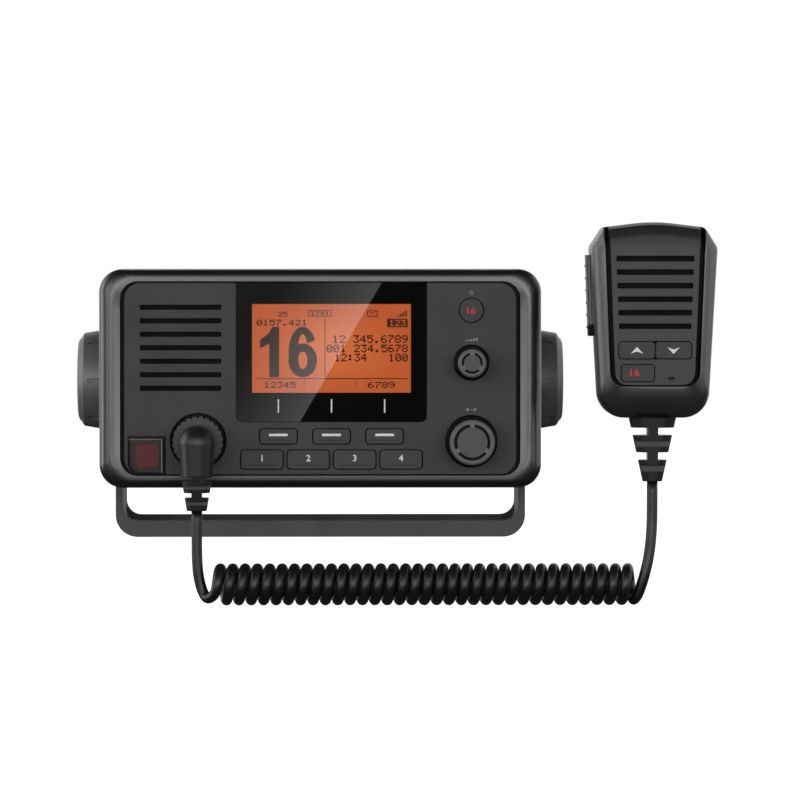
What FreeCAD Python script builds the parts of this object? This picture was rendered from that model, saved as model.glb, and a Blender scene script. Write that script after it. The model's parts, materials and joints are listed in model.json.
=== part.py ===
"""Fixed-mount marine VHF radio: housing on a gimbal bracket, with a hand microphone on
its hanger and a curly cord between them.

Millimetres. +X to the operator's right, +Z up, the front faces -Y. The origin is the middle
of the bracket's underside; the tilt axis runs along X above it.
"""
import FreeCAD
import Part
import math
import os

V = FreeCAD.Vector

# ---- clearances
FIT = 0.05          # running and locating fits, radial
EASE = 0.3          # between pieces that move past each other
KEY_GAP = 0.25      # round a key in its opening
SLIP = 0.1          # between flat faces that slide

# ---- gimbal bracket
BRACKET_T = 2.7
BRACKET_DEPTH = 48.0
BRACKET_R = 8.6
LIP_H = 6.5
LIP_T = 2.7
ARM_SHOULDER = 26.0
ARM_TOP_R = 17.0
PIVOT_Z = 61.2
BASE_HOLE_R = 2.6
BASE_HOLE_END = 25.3   # hole to the outside of the arm
BASE_HOLE_EDGE = 12.0  # hole to the front and back edges

# ---- tilt clamps
STUD_R = 4.0
STUD_BITE = 17.0    # how far a stud reaches into the chassis
INSERT_R = 6.5
WASHER_R = 13.0
WASHER_T = 1.5
PAD_R = 15.0
PAD_PROUD = 1.0
CLAMP_R = 19.3
CLAMP_SHOULDER_R = 18.4
CLAMP_FACE_R = 15.8
CLAMP_T = 15.3
CLAMP_SHOULDER = 2.4    # end of the grip band, in from the outer face
CLAMP_CHAMFER = 1.5     # line between the rounded shoulder and the chamfer
CLAMP_LINE_R = 17.3
CLAMP_LINE_STEP = 0.35
GRIP_SLOTS = 7
GRIP_SLOT_W = 1.8
GRIP_SLOT_L = 8.0
GRIP_SLOT_END = 1.8     # rounded end of a slot, in from the end of the grip band
GRIP_SLOT_DEEP = 0.3

# ---- front housing
FRONT_REACH = 66.0  # front of the housing to the tilt axis
BODY_RISE = 2.0     # middle of the housing above the tilt axis
BAND_SIDE = 8.25    # ring round the panel's groove, at the sides
BAND_END = 4.9      # and above and below it
BEZEL_R = 9.0
BEZEL_DEPTH = 24.0
CROWN_SIDE = 6.2
CROWN_END = 3.3
CROWN_DROP = 4.4
CROWN_STEPS = 5
RIM_T = 8.0
WALL = 2.4

# ---- front panel
PANEL_W = 150.5
PANEL_H = 73.6
PANEL_R = 6.3
PANEL_T = 2.4
PANEL_SINK = 0.4
PANEL_WALL = 1.2
GROOVE_SIDE = 1.5
GROOVE_END = 0.4
FLANGE_T = 1.8
FLANGE_LAP_SIDE = 3.6
FLANGE_LAP_END = 1.8
POST_R = 2.4
POST_SIDE = 8.75    # posts from the panel's side edges
POST_TOP = 4.3      # upper posts from its top edge
POST_DROP = 45.0    # lower posts below the upper ones

# ---- display
WINDOW_W = 73.1
WINDOW_X = 4.3
WINDOW_T = 1.6
WINDOW_R = 2.2
WINDOW_PROUD = 0.2
VIEW_W = 61.0
VIEW_H = 34.1
VIEW_TOP = 8.15     # panel's top edge to the view
LCD_LAP = 2.6
LCD_T = 2.4

# ---- loudspeaker
SLOTS = 7
SLOT_W = 31.2
SLOT_H = 1.9
SLOT_PITCH = 5.18
SLOT_END = 0.25     # corner radius of a slot, as a share of its height
SLOT_SIDE = 21.65   # middle of the slots from the panel's left edge
SLOT_EDGE = 9.4     # first slot below the panel's top edge
SPEAKER_R = 17.0
SPEAKER_T = 13.0
MAGNET_R = 9.0

# ---- keys
KEY_PROUD = 0.5
KEY_TRAVEL = 0.8
KEY_FLANGE = 0.5
KEY_FLANGE_T = 1.0
KEY_R = 1.2
STEM_R = 2.0
NUB_R = 2.2
NUB_H = 2.2
SOFT_KEYS = 3
SOFT_W = 14.1
SOFT_H = 5.5
SOFT_GAP = 6.3
FUNCTION_KEYS = 4
FUNCTION_W = 16.0
FUNCTION_H = 7.0
FUNCTION_GAP = 1.8
KEY_ROOM = 0.25     # key flange to the panel's wall
ROW_GAP = 2.65
WINDOW_GAP = 2.95
POWER_R = 4.5
POWER_EDGE = 10.6   # power key below the panel's top edge
CONTROL_SIDE = 17.25    # column of the power key and the two knobs from the right edge
MAT_T = 1.6
MAT_EDGE = 3.0

# ---- knobs
VOLUME_Z = 6.2
VOLUME_BASE_R = 6.9
VOLUME_R = 5.6
VOLUME_H = 12.0
VOLUME_RING = (3.2, 4.0)
SELECT_Z = -24.0
SELECT_BASE_R = 10.1
SELECT_R = 8.8
SELECT_H = 14.0
SELECT_RING = (5.8, 6.9)
KNOB_BASE_T = 1.6
KNOB_GAP = 1.0
KNOB_TRAVEL = 0.6
KNOB_EDGE = 0.7
KNOB_CAP_T = 2.2
RING_DEEP = 0.8
RING_BRIDGE = 2.0
SHAFT_R = 3.0
SHAFT_FLAT = 1.9
ENCODER_W = 12.0
BUSHING_WALL = 0.6

# ---- covered red key
DOOR_W = 13.9
DOOR_H = 14.1
DOOR_T = 1.6
DOOR_SIDE = 1.65    # door to the panel's left edge
DOOR_R = 4.6
DOOR_PIN_R = 0.35
DOOR_AXIS_SINK = 0.55
PIN_BITE = 1.0
RED_KEY_W = 8.0
RED_KEY_DROP = 0.4  # middle of the red key below the middle of its door

# ---- microphone socket and plug
SOCKET_SIDE = 28.35     # socket from the panel's left edge
WELL_GAP = 1.2
SOCKET_LAP = 0.7
SOCKET_T = 2.2
BARREL_WALL = 1.4
BARREL_PROUD = 4.4
SOCKET_PINS = 8
SOCKET_PIN_R = 0.5
SOCKET_PIN_CIRCLE = 3.0
SHELL_R = 5.7
SHELL_T = 0.9
SHOULDER_STEP = 0.2
SHOULDER_T = 1.8
RING_WALL = 2.4
RING_L = 11.6
RING_FLUTES = 24
RING_FLUTE_R = 0.5
BOOT_WALL = 1.2
BOOT_NECK = 11.7
BOOT_LEG = 12.3

# ---- circuit boards
BOARD_T = 1.6
KEY_BOARD_SIDE = 6.25
KEY_BOARD_END = 2.8
KEY_BOARD_Y = 8.6   # front of the key board behind the panel's face
MAIN_BOARD_SIDE = 10.0
MAIN_BOARD_END = 5.0
MAIN_POST_H = 15.5
SHIELD = (64.0, 44.0, 13.0)
SHIELD_X = 2.0
SHIELD_Y = 8.0
SHIELD_T = 1.0
CAPACITOR_R = 5.0
CAPACITOR_H = 12.0
CAPACITOR_PITCH = 12.0
MODULE = (16.0, 36.0, 8.0)
HEADER = (32.0, 6.0, 7.0)
COIL_R = 6.0
COIL_H = 6.0
PATCH = 25.0
PATCH_T = 5.0
PATCH_EDGE = 4.5
PATCH_Y = -20.0
RIBBON_W = 30.0
RIBBON_T = 0.4
RIBBON_RISE = 6.0
RIBBON_RUN = 9.0

# ---- chassis
CHASSIS_SIDE = 10.0 # step from the housing's side to the chassis
CHASSIS_END = 5.6   # and from its top and underside
CHASSIS_R = 6.0
CHASSIS_DEPTH = 89.0
CHASSIS_WALL = 3.0
SEAT_T = 3.0        # flange that closes the front housing
SEAT_STEP = 0.5
GASKET_T = 1.0
GASKET_W = 4.0
CASE_BOSS_R = 3.4
CASE_BOSS_SIDE = 5.2
CASE_BOSS_END = 8.1
CASE_SCREW_R = 1.5
CASE_SCREW_L = 14.0
CASE_HEAD_R = 2.9
CASE_HEAD_T = 2.2
FIN_T = 2.0
FIN_H = 6.0
FINS = 18
TOP_RIBS = 9
TOP_RIB_H = 1.6

# ---- rear connectors
ANTENNA_X = 45.0
REAR_Z = -16.0
ANTENNA_R = 7.9
ANTENNA_L = 12.0
ANTENNA_BORE_R = 5.6
ANTENNA_FLANGE = 25.4
CONTACT_R = 2.4
CONTACT_BORE_R = 1.9
INLET_L = 10.0

# ---- hand microphone
MIC_X = 126.2
MIC_Z = 49.1        # chin of the microphone above the bracket's underside
MIC_FRONT = 17.0    # seam to the front of the microphone
MIC_BACK = 16.0     # seam to its back
MIC_RIM = 6.0       # straight wall each side of the seam
MIC_ROUND_STEPS = 5 # facets from the rim round to the flat front
MIC_WALL = 2.0
# half width of the jaw, chin height, half width and height of the shoulder,
# half width and height of the crest, height of the top of the arch
MIC_WIDE = (20.6, 0.0, 24.2, 64.5, 19.4, 72.1, 74.5)
MIC_FACE = (16.6, 10.4, 19.7, 62.5, 18.9, 66.8, 69.0)
MIC_REAR = (15.5, 6.0, 18.5, 59.0, 15.0, 65.0, 66.6)
MIC_RADII = (10.0, 3.5, 2.5, 60.0)
FACE_T = 2.2
FACE_FOOT = 12.6
FACE_SIDE = 1.5     # face insert beside the arrow keys
FACE_FLARE = 2.7    # how much wider it is at the top
FACE_R = 4.6
CHANNEL_W = 1.8
MIC_SLOTS = 6
MIC_SLOT_W = 29.4
MIC_SLOT_SHRINK = 0.44
MIC_SLOT_H = 2.0
MIC_SLOT_PITCH = 5.09
MIC_SLOT_TOP = 60.3
MIC_SPEAKER_R = 14.0
MIC_SPEAKER_T = 7.0
ARROW_W = 13.4
ARROW_H = 6.2
ARROW_Z = 25.8
ARROW_SPLIT = 0.4
CHANNEL_KEY_W = 12.3
CHANNEL_KEY_H = 6.2
CHANNEL_KEY_X = -6.5
CHANNEL_KEY_Z = 17.2
MIC_HOLE_X = 6.2
MIC_HOLE_Z = 15.2
MIC_HOLE_W = 2.3
MIC_HOLE_H = 1.0
CAPSULE_R = 4.0
CAPSULE_T = 4.0
MIC_BOARD_W = 28.0
MIC_BOARD_H = 46.0
PTT_L = 30.7
PTT_Z = 46.3
PTT_DEPTH = 12.0
PTT_PROUD = 1.8
PTT_TRAVEL = 1.4
PTT_RIBS = 6
PTT_RIB_R = 0.5
PTT_LEAN = 3.0      # degrees
PTT_FLANGE = 1.0
MIC_SCREW_R = 1.25
MIC_SCREW_HEAD_R = 2.5
MIC_SCREW_REACH = 8.0
MIC_SCREW_LOW = (11.0, 12.5)
MIC_SCREW_HIGH = 11.5
MIC_WEB_T = 1.5
MIC_WEB_H = 12.0

# ---- microphone hanger
BUTTON_RISE = 46.0  # hang button above the chin
BUTTON_R = 7.0
BUTTON_T = 2.0
BUTTON_STEM_R = 3.5
HANGER_STAND = 1.8
HANGER_PLATE_T = 3.0
HANGER_W = 30.0
HANGER_H = 28.0
HANGER_TAB_H = 52.0
HANGER_TAB_W = 18.0
HANGER_HOLE_R = 2.2
HANGER_HOLE_DZ = 40.0

# ---- strain reliefs: length, widths and depths at the two ends, first cut, pitch, cut heights
MIC_RELIEF = {"length": 24.3, "top": (18.0, 13.0), "foot": (7.4, 7.0),
              "first": 5.3, "pitch": 4.7, "notch": 2.9, "groove": 2.3}
PLUG_RELIEF = {"length": 13.3, "top": (12.0, 12.0), "foot": (7.6, 7.4),
               "first": 1.4, "pitch": 3.0, "notch": 1.9, "groove": 1.4}
RELIEF_CUTS = 4
RELIEF_SPINE = 3.9

# ---- cord
CORD_D = 4.1
COIL_OD = 16.1
COIL_X0 = -40.1
COIL_X1 = 119.0
COIL_Z = -14.4
# routes in X and Z from each exit down to the coil, chosen by hand
RADIO_LEAD = ((-46.9, 13.6), (-46.9, 5.4), (-46.4, -3.2), (-45.0, -11.4), (-41.0, -17.6), (-34.3, -19.5),
              (-27.8, -17.4))
MIC_LEAD = ((126.2, 24.8), (126.2, 13.2), (125.4, 1.4), (123.2, -9.0), (119.8, -16.4), (112.9, -19.4),
            (105.9, -17.3))

# ---- places that follow from the sizes
BEZEL_W = PANEL_W + 2 * (GROOVE_SIDE + BAND_SIDE)
BEZEL_H = PANEL_H + 2 * (GROOVE_END + BAND_END)
CHASSIS_W = BEZEL_W - 2 * CHASSIS_SIDE
CHASSIS_H = BEZEL_H - 2 * CHASSIS_END
PAD_X = CHASSIS_W / 2 + PAD_PROUD
ARM_IN = PAD_X + WASHER_T + SLIP
BRACKET_W = 2 * (ARM_IN + BRACKET_T)
BASE_HOLE_DX = BRACKET_W - 2 * BASE_HOLE_END
BASE_HOLE_DY = BRACKET_DEPTH - 2 * BASE_HOLE_EDGE
CASE_BOSS_DX = BEZEL_W - 2 * CASE_BOSS_SIDE
CASE_BOSS_DZ = BEZEL_H - 2 * CASE_BOSS_END
SOFT_PITCH = SOFT_W + SOFT_GAP
FUNCTION_PITCH = FUNCTION_W + FUNCTION_GAP
FUNCTION_Z = PANEL_WALL + KEY_ROOM + KEY_FLANGE + KEY_GAP + FUNCTION_H / 2 - PANEL_H / 2
SOFT_Z = FUNCTION_Z + FUNCTION_H / 2 + ROW_GAP + SOFT_H / 2
WINDOW_H = PANEL_H / 2 - (SOFT_Z + SOFT_H / 2 + WINDOW_GAP)
VIEW_RISE = PANEL_H / 2 - VIEW_TOP - VIEW_H / 2
SLOT_X = SLOT_SIDE - PANEL_W / 2
SLOT_TOP = PANEL_H / 2 - SLOT_EDGE
CONTROL_X = PANEL_W / 2 - CONTROL_SIDE
POWER_Z = PANEL_H / 2 - POWER_EDGE
POST_X = PANEL_W / 2 - POST_SIDE
POST_HIGH = PANEL_H / 2 - POST_TOP
POST_LOW = POST_HIGH - POST_DROP    # the covered key fills the corner below
KEY_BOARD_W = PANEL_W - 2 * KEY_BOARD_SIDE
KEY_BOARD_H = PANEL_H - 2 * KEY_BOARD_END
BUSHING_R = SHAFT_R + BUSHING_WALL
BUSHING_HOLE_R = BUSHING_R + EASE
DOOR_X = DOOR_SIDE + DOOR_W / 2 - PANEL_W / 2
SOCKET_BORE_R = SHELL_R + SLIP
BARREL_R = SOCKET_BORE_R + BARREL_WALL
SHOULDER_R = BARREL_R - SHOULDER_STEP
RING_R = BARREL_R + RING_WALL
WELL_R = RING_R + WELL_GAP
SOCKET_R = WELL_R + SOCKET_LAP
SOCKET_X = SOCKET_SIDE - PANEL_W / 2
SOCKET_Z = PANEL_WALL + SLIP + SOCKET_R - PANEL_H / 2
BOOT_R = SHELL_R + BOOT_WALL
BOOT_FOOT_R = PLUG_RELIEF["top"][0] / 2
MAIN_BOARD_W = CHASSIS_W - 2 * MAIN_BOARD_SIDE
MAIN_BOARD_Z = CHASSIS_WALL + MAIN_POST_H - CHASSIS_H / 2
FACE_LOW = ARROW_W + FACE_SIDE
FACE_HIGH = FACE_LOW + FACE_FLARE
BODY_Z = PIVOT_Z + BODY_RISE
FRONT_Y = -FRONT_REACH
PANEL_Y = FRONT_Y + PANEL_SINK
PANEL_BACK = PANEL_Y + PANEL_T
LEDGE_Y = FRONT_Y + RIM_T
BEZEL_BACK = FRONT_Y + BEZEL_DEPTH
SEAT_Y = BEZEL_BACK + GASKET_T
CHASSIS_BACK = SEAT_Y + CHASSIS_DEPTH
KEY_BOARD_FRONT = PANEL_Y + KEY_BOARD_Y
KEY_BOARD_BACK = KEY_BOARD_FRONT + BOARD_T
NUB_TOP = KEY_BOARD_FRONT - NUB_H
CLAMP_X = BRACKET_W / 2 + SLIP
SHAFT_BACK = KEY_BOARD_FRONT - SLIP
DOOR_AXIS_Y = PANEL_Y + DOOR_AXIS_SINK
DOOR_FRONT = DOOR_AXIS_Y - DOOR_T / 2
DOOR_BACK = DOOR_AXIS_Y + DOOR_T / 2
DOOR_FOOT_Z = BODY_Z - PANEL_H / 2 + EASE
DOOR_AXIS_Z = DOOR_FOOT_Z + DOOR_H - DOOR_T / 2
DOOR_FLOOR = DOOR_BACK + EASE
BARREL_Y = PANEL_Y - BARREL_PROUD
RING_BACK = PANEL_BACK - PANEL_T / 2
RING_FRONT = RING_BACK - RING_L
CORD_Y = RING_FRONT - EASE - BOOT_NECK  # the cord, the plug's leg and the microphone's seam lie here
MIC_FRONT_Y = CORD_Y - MIC_FRONT
MIC_BACK_Y = CORD_Y + MIC_BACK
FACE_BACK_Y = MIC_FRONT_Y + FACE_T
MIC_BOARD_FRONT = FACE_BACK_Y + MIC_WALL + MIC_SPEAKER_T
BUTTON_Z = MIC_Z + BUTTON_RISE
HANGER_Y = MIC_BACK_Y + HANGER_STAND
HANGER_POCKET = HANGER_Y + HANGER_PLATE_T
BUTTON_Y = HANGER_POCKET + EASE
HANGER_BACK = BUTTON_Y + BUTTON_T + EASE + HANGER_PLATE_T


# ---------------------------------------------------------------- shape helpers
def corner_arc(before, corner, after, set_back):
    """Arc that rounds one corner and starts set_back away from it on both sides."""
    back = (before - corner).normalize()
    ahead = (after - corner).normalize()
    half = back.getAngle(ahead) / 2
    radius = set_back * math.tan(half)
    inward = (back + ahead).normalize()
    middle = corner + inward * (radius / math.sin(half) - radius)
    return Part.Arc(corner + back * set_back, middle, corner + ahead * set_back), radius


def rounded_wire(points, radii):
    """Closed outline with a tangent arc of its own radius at each corner, 0 for a sharp one."""
    edges = []
    count = len(points)
    ends = []
    for index, corner in enumerate(points):
        before, after = points[index - 1], points[(index + 1) % count]
        if radii[index] == 0:
            ends.append((corner, corner, None))
            continue
        half = (before - corner).getAngle(after - corner) / 2
        arc, _ = corner_arc(before, corner, after, radii[index] / math.tan(half))
        ends.append((arc.StartPoint, arc.EndPoint, arc))
    for index, (_, leave, arc) in enumerate(ends):
        if arc is not None:
            edges.append(arc.toShape())
        reach = ends[(index + 1) % count][0]
        if leave.distanceToPoint(reach) > 1e-6:
            edges.append(Part.LineSegment(leave, reach).toShape())
    return Part.Wire(edges)


def tile_wire(width, height, radius, y, x=0.0, z=BODY_Z):
    """Rounded rectangle that faces the front."""
    w, h = width / 2, height / 2
    points = [V(x - w, y, z - h), V(x + w, y, z - h), V(x + w, y, z + h), V(x - w, y, z + h)]
    return rounded_wire(points, [radius] * 4)


def tile(width, height, radius, y0, y1, x=0.0, z=BODY_Z):
    """Rounded rectangular plate from y0 back to y1."""
    return Part.Face(tile_wire(width, height, radius, y0, x, z)).extrude(V(0, y1 - y0, 0))


def block(x0, x1, y0, y1, z0, z1):
    """Box between two corners."""
    return Part.makeBox(x1 - x0, y1 - y0, z1 - z0, V(x0, y0, z0))


def drum(radius, y0, y1, x, z):
    """Cylinder along Y."""
    return Part.makeCylinder(radius, y1 - y0, V(x, y0, z), V(0, 1, 0))


def rod(radius, x0, x1, y, z):
    """Cylinder along X."""
    return Part.makeCylinder(radius, x1 - x0, V(x0, y, z), V(1, 0, 0))


def post(radius, z0, z1, x, y):
    """Cylinder along Z."""
    return Part.makeCylinder(radius, z1 - z0, V(x, y, z0))


def turned(profile, x, z):
    """Solid turned about a line along Y; the profile holds (y, radius) points."""
    points = [V(x + radius, y, z) for y, radius in profile]
    return Part.Face(Part.makePolygon(points + points[:1])).revolve(V(x, 0, z), V(0, 1, 0), 360)


def joined(first, *others):
    """One solid from pieces that overlap or touch."""
    return first.fuse(list(others)).removeSplitter()


def corners(dx, dz, x=0.0, z=0.0):
    """Four corners of a rectangle."""
    return [(x + sx * dx / 2, z + sz * dz / 2) for sx in (-1, 1) for sz in (-1, 1)]


# ---------------------------------------------------------------- bracket and clamps
def bracket_core(floor, radius, y0, y1):
    """Space inside the U between y0 and y1, above a floor at the given height."""
    top = PIVOT_Z + ARM_TOP_R + 1
    points = [V(-ARM_IN, y0, floor), V(ARM_IN, y0, floor), V(ARM_IN, y0, top), V(-ARM_IN, y0, top)]
    return Part.Face(rounded_wire(points, [radius, radius, 0, 0])).extrude(V(0, y1 - y0, 0))


def bracket():
    """Pressed U bracket with a lip along the front and back of its base."""
    half, depth = BRACKET_W / 2, BRACKET_DEPTH / 2
    top = PIVOT_Z + ARM_TOP_R
    outline = [V(-half, -depth, 0), V(half, -depth, 0), V(half, -depth, top), V(-half, -depth, top)]
    body = Part.Face(rounded_wire(outline, [BRACKET_R, BRACKET_R, 0, 0])).extrude(V(0, 2 * depth, 0))
    bend = BRACKET_R - BRACKET_T
    side = [V(-half, -depth, 0), V(-half, depth, 0), V(-half, depth, ARM_SHOULDER),
            V(-half, ARM_TOP_R, top), V(-half, -ARM_TOP_R, top), V(-half, -depth, ARM_SHOULDER)]
    crown = ARM_TOP_R * 0.8
    profile = Part.Face(rounded_wire(side, [0, 0, BRACKET_R, crown, crown, BRACKET_R]))
    body = body.common(profile.extrude(V(BRACKET_W, 0, 0)))
    body = body.cut([bracket_core(BRACKET_T, bend, LIP_T - depth, depth - LIP_T),
                     bracket_core(LIP_H, bend, -depth - 1, depth + 1)])
    holes = [post(BASE_HOLE_R, -1, LIP_H, x, y) for x, y in corners(BASE_HOLE_DX, BASE_HOLE_DY)]
    holes.append(rod(STUD_R + FIT, -half - 1, half + 1, 0, PIVOT_Z))
    return body.cut(holes)


def clamp_knob(side):
    """Large hand knob with its threaded stud; side is -1 for left and 1 for right."""
    face = CLAMP_X + CLAMP_T
    shoulder, line = face - CLAMP_SHOULDER, face - CLAMP_CHAMFER
    steps = ((CLAMP_X, 0), (CLAMP_X, CLAMP_R - 2), (CLAMP_X + 1.5, CLAMP_R),
             (CLAMP_X + CLAMP_T / 2, CLAMP_R), (shoulder, CLAMP_SHOULDER_R), (line, CLAMP_LINE_R),
             (line, CLAMP_LINE_R - CLAMP_LINE_STEP), (face - 0.4, CLAMP_FACE_R), (face, CLAMP_FACE_R - 1),
             (face, 0))
    points = [V(side * x, 0, PIVOT_Z + radius) for x, radius in steps]
    knob = Part.Face(Part.makePolygon(points + points[:1])).revolve(V(0, 0, PIVOT_Z), V(1, 0, 0), 360)
    inner = CLAMP_X - STUD_BITE - WASHER_T - BRACKET_T
    stud = rod(STUD_R, *sorted((side * inner, side * (CLAMP_X + 1))), 0, PIVOT_Z)
    stop = shoulder - GRIP_SLOT_END - GRIP_SLOT_W / 2
    floor, above = PIVOT_Z + CLAMP_SHOULDER_R - GRIP_SLOT_DEEP, PIVOT_Z + CLAMP_R + 1
    cuts = []
    for index in range(GRIP_SLOTS):
        run = block(*sorted((side * (stop - GRIP_SLOT_L), side * stop)), -GRIP_SLOT_W / 2, GRIP_SLOT_W / 2,
                    floor, above)
        end = Part.makeCylinder(GRIP_SLOT_W / 2, above - floor, V(side * stop, 0, floor))
        slot = joined(run, end)
        slot.rotate(V(0, 0, PIVOT_Z), V(1, 0, 0), 90 + 360 / GRIP_SLOTS * index)
        cuts.append(slot)
    return joined(knob, stud).cut(cuts)


def friction_washers():
    """A washer between the chassis and each arm."""
    rings = []
    for side in (-1, 1):
        span = sorted((side * PAD_X, side * (PAD_X + WASHER_T)))
        rings.append(rod(WASHER_R, *span, 0, PIVOT_Z).cut(rod(STUD_R + EASE, *span, 0, PIVOT_Z)))
    return Part.makeCompound(rings)


def pivot_inserts():
    """Threaded sleeves moulded into the chassis, which the clamp studs screw into."""
    sleeves = []
    for side in (-1, 1):
        span = sorted((side * (PAD_X - STUD_BITE), side * PAD_X))
        sleeves.append(rod(INSERT_R, *span, 0, PIVOT_Z).cut(rod(STUD_R + FIT, *span, 0, PIVOT_Z)))
    return Part.makeCompound(sleeves)


# ---------------------------------------------------------------- front housing
def front_bezel():
    """Front housing: a crowned ring with a skirt behind it and four screw bosses."""
    rings = []
    for step in range(CROWN_STEPS):
        lean = math.radians(90.0 * step / (CROWN_STEPS - 1))
        draw = 1 - math.cos(lean)
        rings.append(tile_wire(BEZEL_W - 2 * CROWN_SIDE * draw, BEZEL_H - 2 * CROWN_END * draw,
                               BEZEL_R, FRONT_Y + CROWN_DROP * (1 - math.sin(lean))))
    body = joined(Part.makeLoft(rings, True, False),
                  tile(BEZEL_W, BEZEL_H, BEZEL_R, FRONT_Y + CROWN_DROP, BEZEL_BACK))
    mouth = tile(PANEL_W + 2 * GROOVE_SIDE, PANEL_H + 2 * GROOVE_END, PANEL_R + GROOVE_END,
                 FRONT_Y - 1, LEDGE_Y + 1)
    hollow = tile(BEZEL_W - 2 * WALL, BEZEL_H - 2 * WALL, BEZEL_R - WALL, LEDGE_Y, BEZEL_BACK + 1)
    body = body.cut([mouth, hollow])
    boss_y = LEDGE_Y + FLANGE_T + EASE
    bosses = [drum(CASE_BOSS_R, boss_y, BEZEL_BACK, x, z)
              for x, z in corners(CASE_BOSS_DX, CASE_BOSS_DZ, z=BODY_Z)]
    skin = tile(BEZEL_W, BEZEL_H, BEZEL_R, boss_y, BEZEL_BACK)
    bosses = [boss.common(skin) for boss in bosses]
    pilots = [drum(CASE_SCREW_R + FIT, BEZEL_BACK - CASE_SCREW_L, BEZEL_BACK + 1, x, z)
              for x, z in corners(CASE_BOSS_DX, CASE_BOSS_DZ, z=BODY_Z)]
    return joined(body, *bosses).cut(pilots)


def key_places():
    """Middles of the three soft keys and the four function keys, under the window."""
    soft = [WINDOW_X + (index - (SOFT_KEYS - 1) / 2) * SOFT_PITCH for index in range(SOFT_KEYS)]
    function = [WINDOW_X + (index - (FUNCTION_KEYS - 1) / 2) * FUNCTION_PITCH
                for index in range(FUNCTION_KEYS)]
    return soft, function


def window_outline(grow, y):
    """Window's outline, square at the top where it meets the housing."""
    top = BODY_Z + PANEL_H / 2
    foot = top - WINDOW_H - grow
    half = WINDOW_W / 2 + grow
    points = [V(WINDOW_X - half, y, foot), V(WINDOW_X + half, y, foot),
              V(WINDOW_X + half, y, top + grow), V(WINDOW_X - half, y, top + grow)]
    return Part.Face(rounded_wire(points, [WINDOW_R, WINDOW_R, 0, 0]))


def door_outline(grow, y):
    """Outline of the hinged cover, with the large round of the panel's corner."""
    left, right = DOOR_X - DOOR_W / 2 - grow, DOOR_X + DOOR_W / 2 + grow
    foot, top = DOOR_FOOT_Z - grow, DOOR_AXIS_Z + DOOR_T / 2 + grow
    points = [V(left, y, foot), V(right, y, foot), V(right, y, top), V(left, y, top)]
    return Part.Face(rounded_wire(points, [DOOR_R, 0, 0, 0]))


def panel_openings():
    """Everything that is cut through the front panel or sunk into it."""
    soft, function = key_places()
    through = PANEL_BACK + 4
    cuts = [window_outline(FIT, PANEL_Y - 1).extrude(V(0, 1 + WINDOW_T - WINDOW_PROUD, 0)),
            tile(VIEW_W, VIEW_H, KEY_R, PANEL_Y, through, WINDOW_X, BODY_Z + VIEW_RISE)]
    cuts += [tile(SLOT_W, SLOT_H, SLOT_H * SLOT_END, PANEL_Y - 1, through, SLOT_X,
                  BODY_Z + SLOT_TOP - SLOT_PITCH * index) for index in range(SLOTS)]
    cuts += [tile(SOFT_W + 2 * KEY_GAP, SOFT_H + 2 * KEY_GAP, KEY_R + KEY_GAP, PANEL_Y - 1, through,
                  x, BODY_Z + SOFT_Z) for x in soft]
    cuts += [tile(FUNCTION_W + 2 * KEY_GAP, FUNCTION_H + 2 * KEY_GAP, KEY_R + KEY_GAP, PANEL_Y - 1,
                  through, x, BODY_Z + FUNCTION_Z) for x in function]
    cuts.append(drum(POWER_R + KEY_GAP, PANEL_Y - 1, through, CONTROL_X, BODY_Z + POWER_Z))
    for z in (VOLUME_Z, SELECT_Z):
        cuts.append(drum(BUSHING_HOLE_R, PANEL_Y - 1, through, CONTROL_X, BODY_Z + z))
    cuts.append(drum(WELL_R, PANEL_Y - 1, through, SOCKET_X, BODY_Z + SOCKET_Z))
    cuts.append(door_outline(EASE, PANEL_Y - 1).extrude(V(0, 1 + DOOR_FLOOR - PANEL_Y, 0)))
    cuts.append(tile(RED_KEY_W + 2 * KEY_GAP, RED_KEY_W + 2 * KEY_GAP, KEY_R, PANEL_Y, through,
                     DOOR_X, red_key_z()))
    pin_half = DOOR_W / 2 + EASE + PIN_BITE
    cuts.append(rod(DOOR_PIN_R + FIT, DOOR_X - pin_half, DOOR_X + pin_half, DOOR_AXIS_Y, DOOR_AXIS_Z))
    return cuts


def front_panel():
    """Inset front panel with a short wall, a flange behind the ring and posts for the key board."""
    plate = tile(PANEL_W, PANEL_H, PANEL_R, PANEL_Y, LEDGE_Y)
    flange = tile(PANEL_W + 2 * (GROOVE_SIDE + FLANGE_LAP_SIDE), PANEL_H + 2 * (GROOVE_END + FLANGE_LAP_END),
                  PANEL_R, LEDGE_Y, LEDGE_Y + FLANGE_T)
    inside = tile(PANEL_W - 2 * PANEL_WALL, PANEL_H - 2 * PANEL_WALL, PANEL_R - PANEL_WALL,
                  PANEL_BACK, LEDGE_Y + FLANGE_T + 1)
    posts = [drum(POST_R, PANEL_BACK, KEY_BOARD_FRONT, side * POST_X, BODY_Z + z)
             for side in (-1, 1) for z in (POST_LOW, POST_HIGH)]
    return joined(joined(plate, flange).cut(inside), *posts).cut(panel_openings())


def display_window():
    """Flat window pane, flush with the top of the panel."""
    return window_outline(0, PANEL_Y - WINDOW_PROUD).extrude(V(0, WINDOW_T, 0))


def lcd_panel():
    """Liquid crystal panel behind the view opening."""
    return tile(VIEW_W + 2 * LCD_LAP, VIEW_H + 2 * LCD_LAP, KEY_R, PANEL_BACK, PANEL_BACK + LCD_T,
                WINDOW_X, BODY_Z + VIEW_RISE)


def lcd_backlight():
    """Light guide and frame between the display and the key board."""
    return tile(VIEW_W + 4 * LCD_LAP, VIEW_H + 3 * LCD_LAP, KEY_R, PANEL_BACK + LCD_T, KEY_BOARD_FRONT,
                WINDOW_X, BODY_Z + VIEW_RISE)


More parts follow.
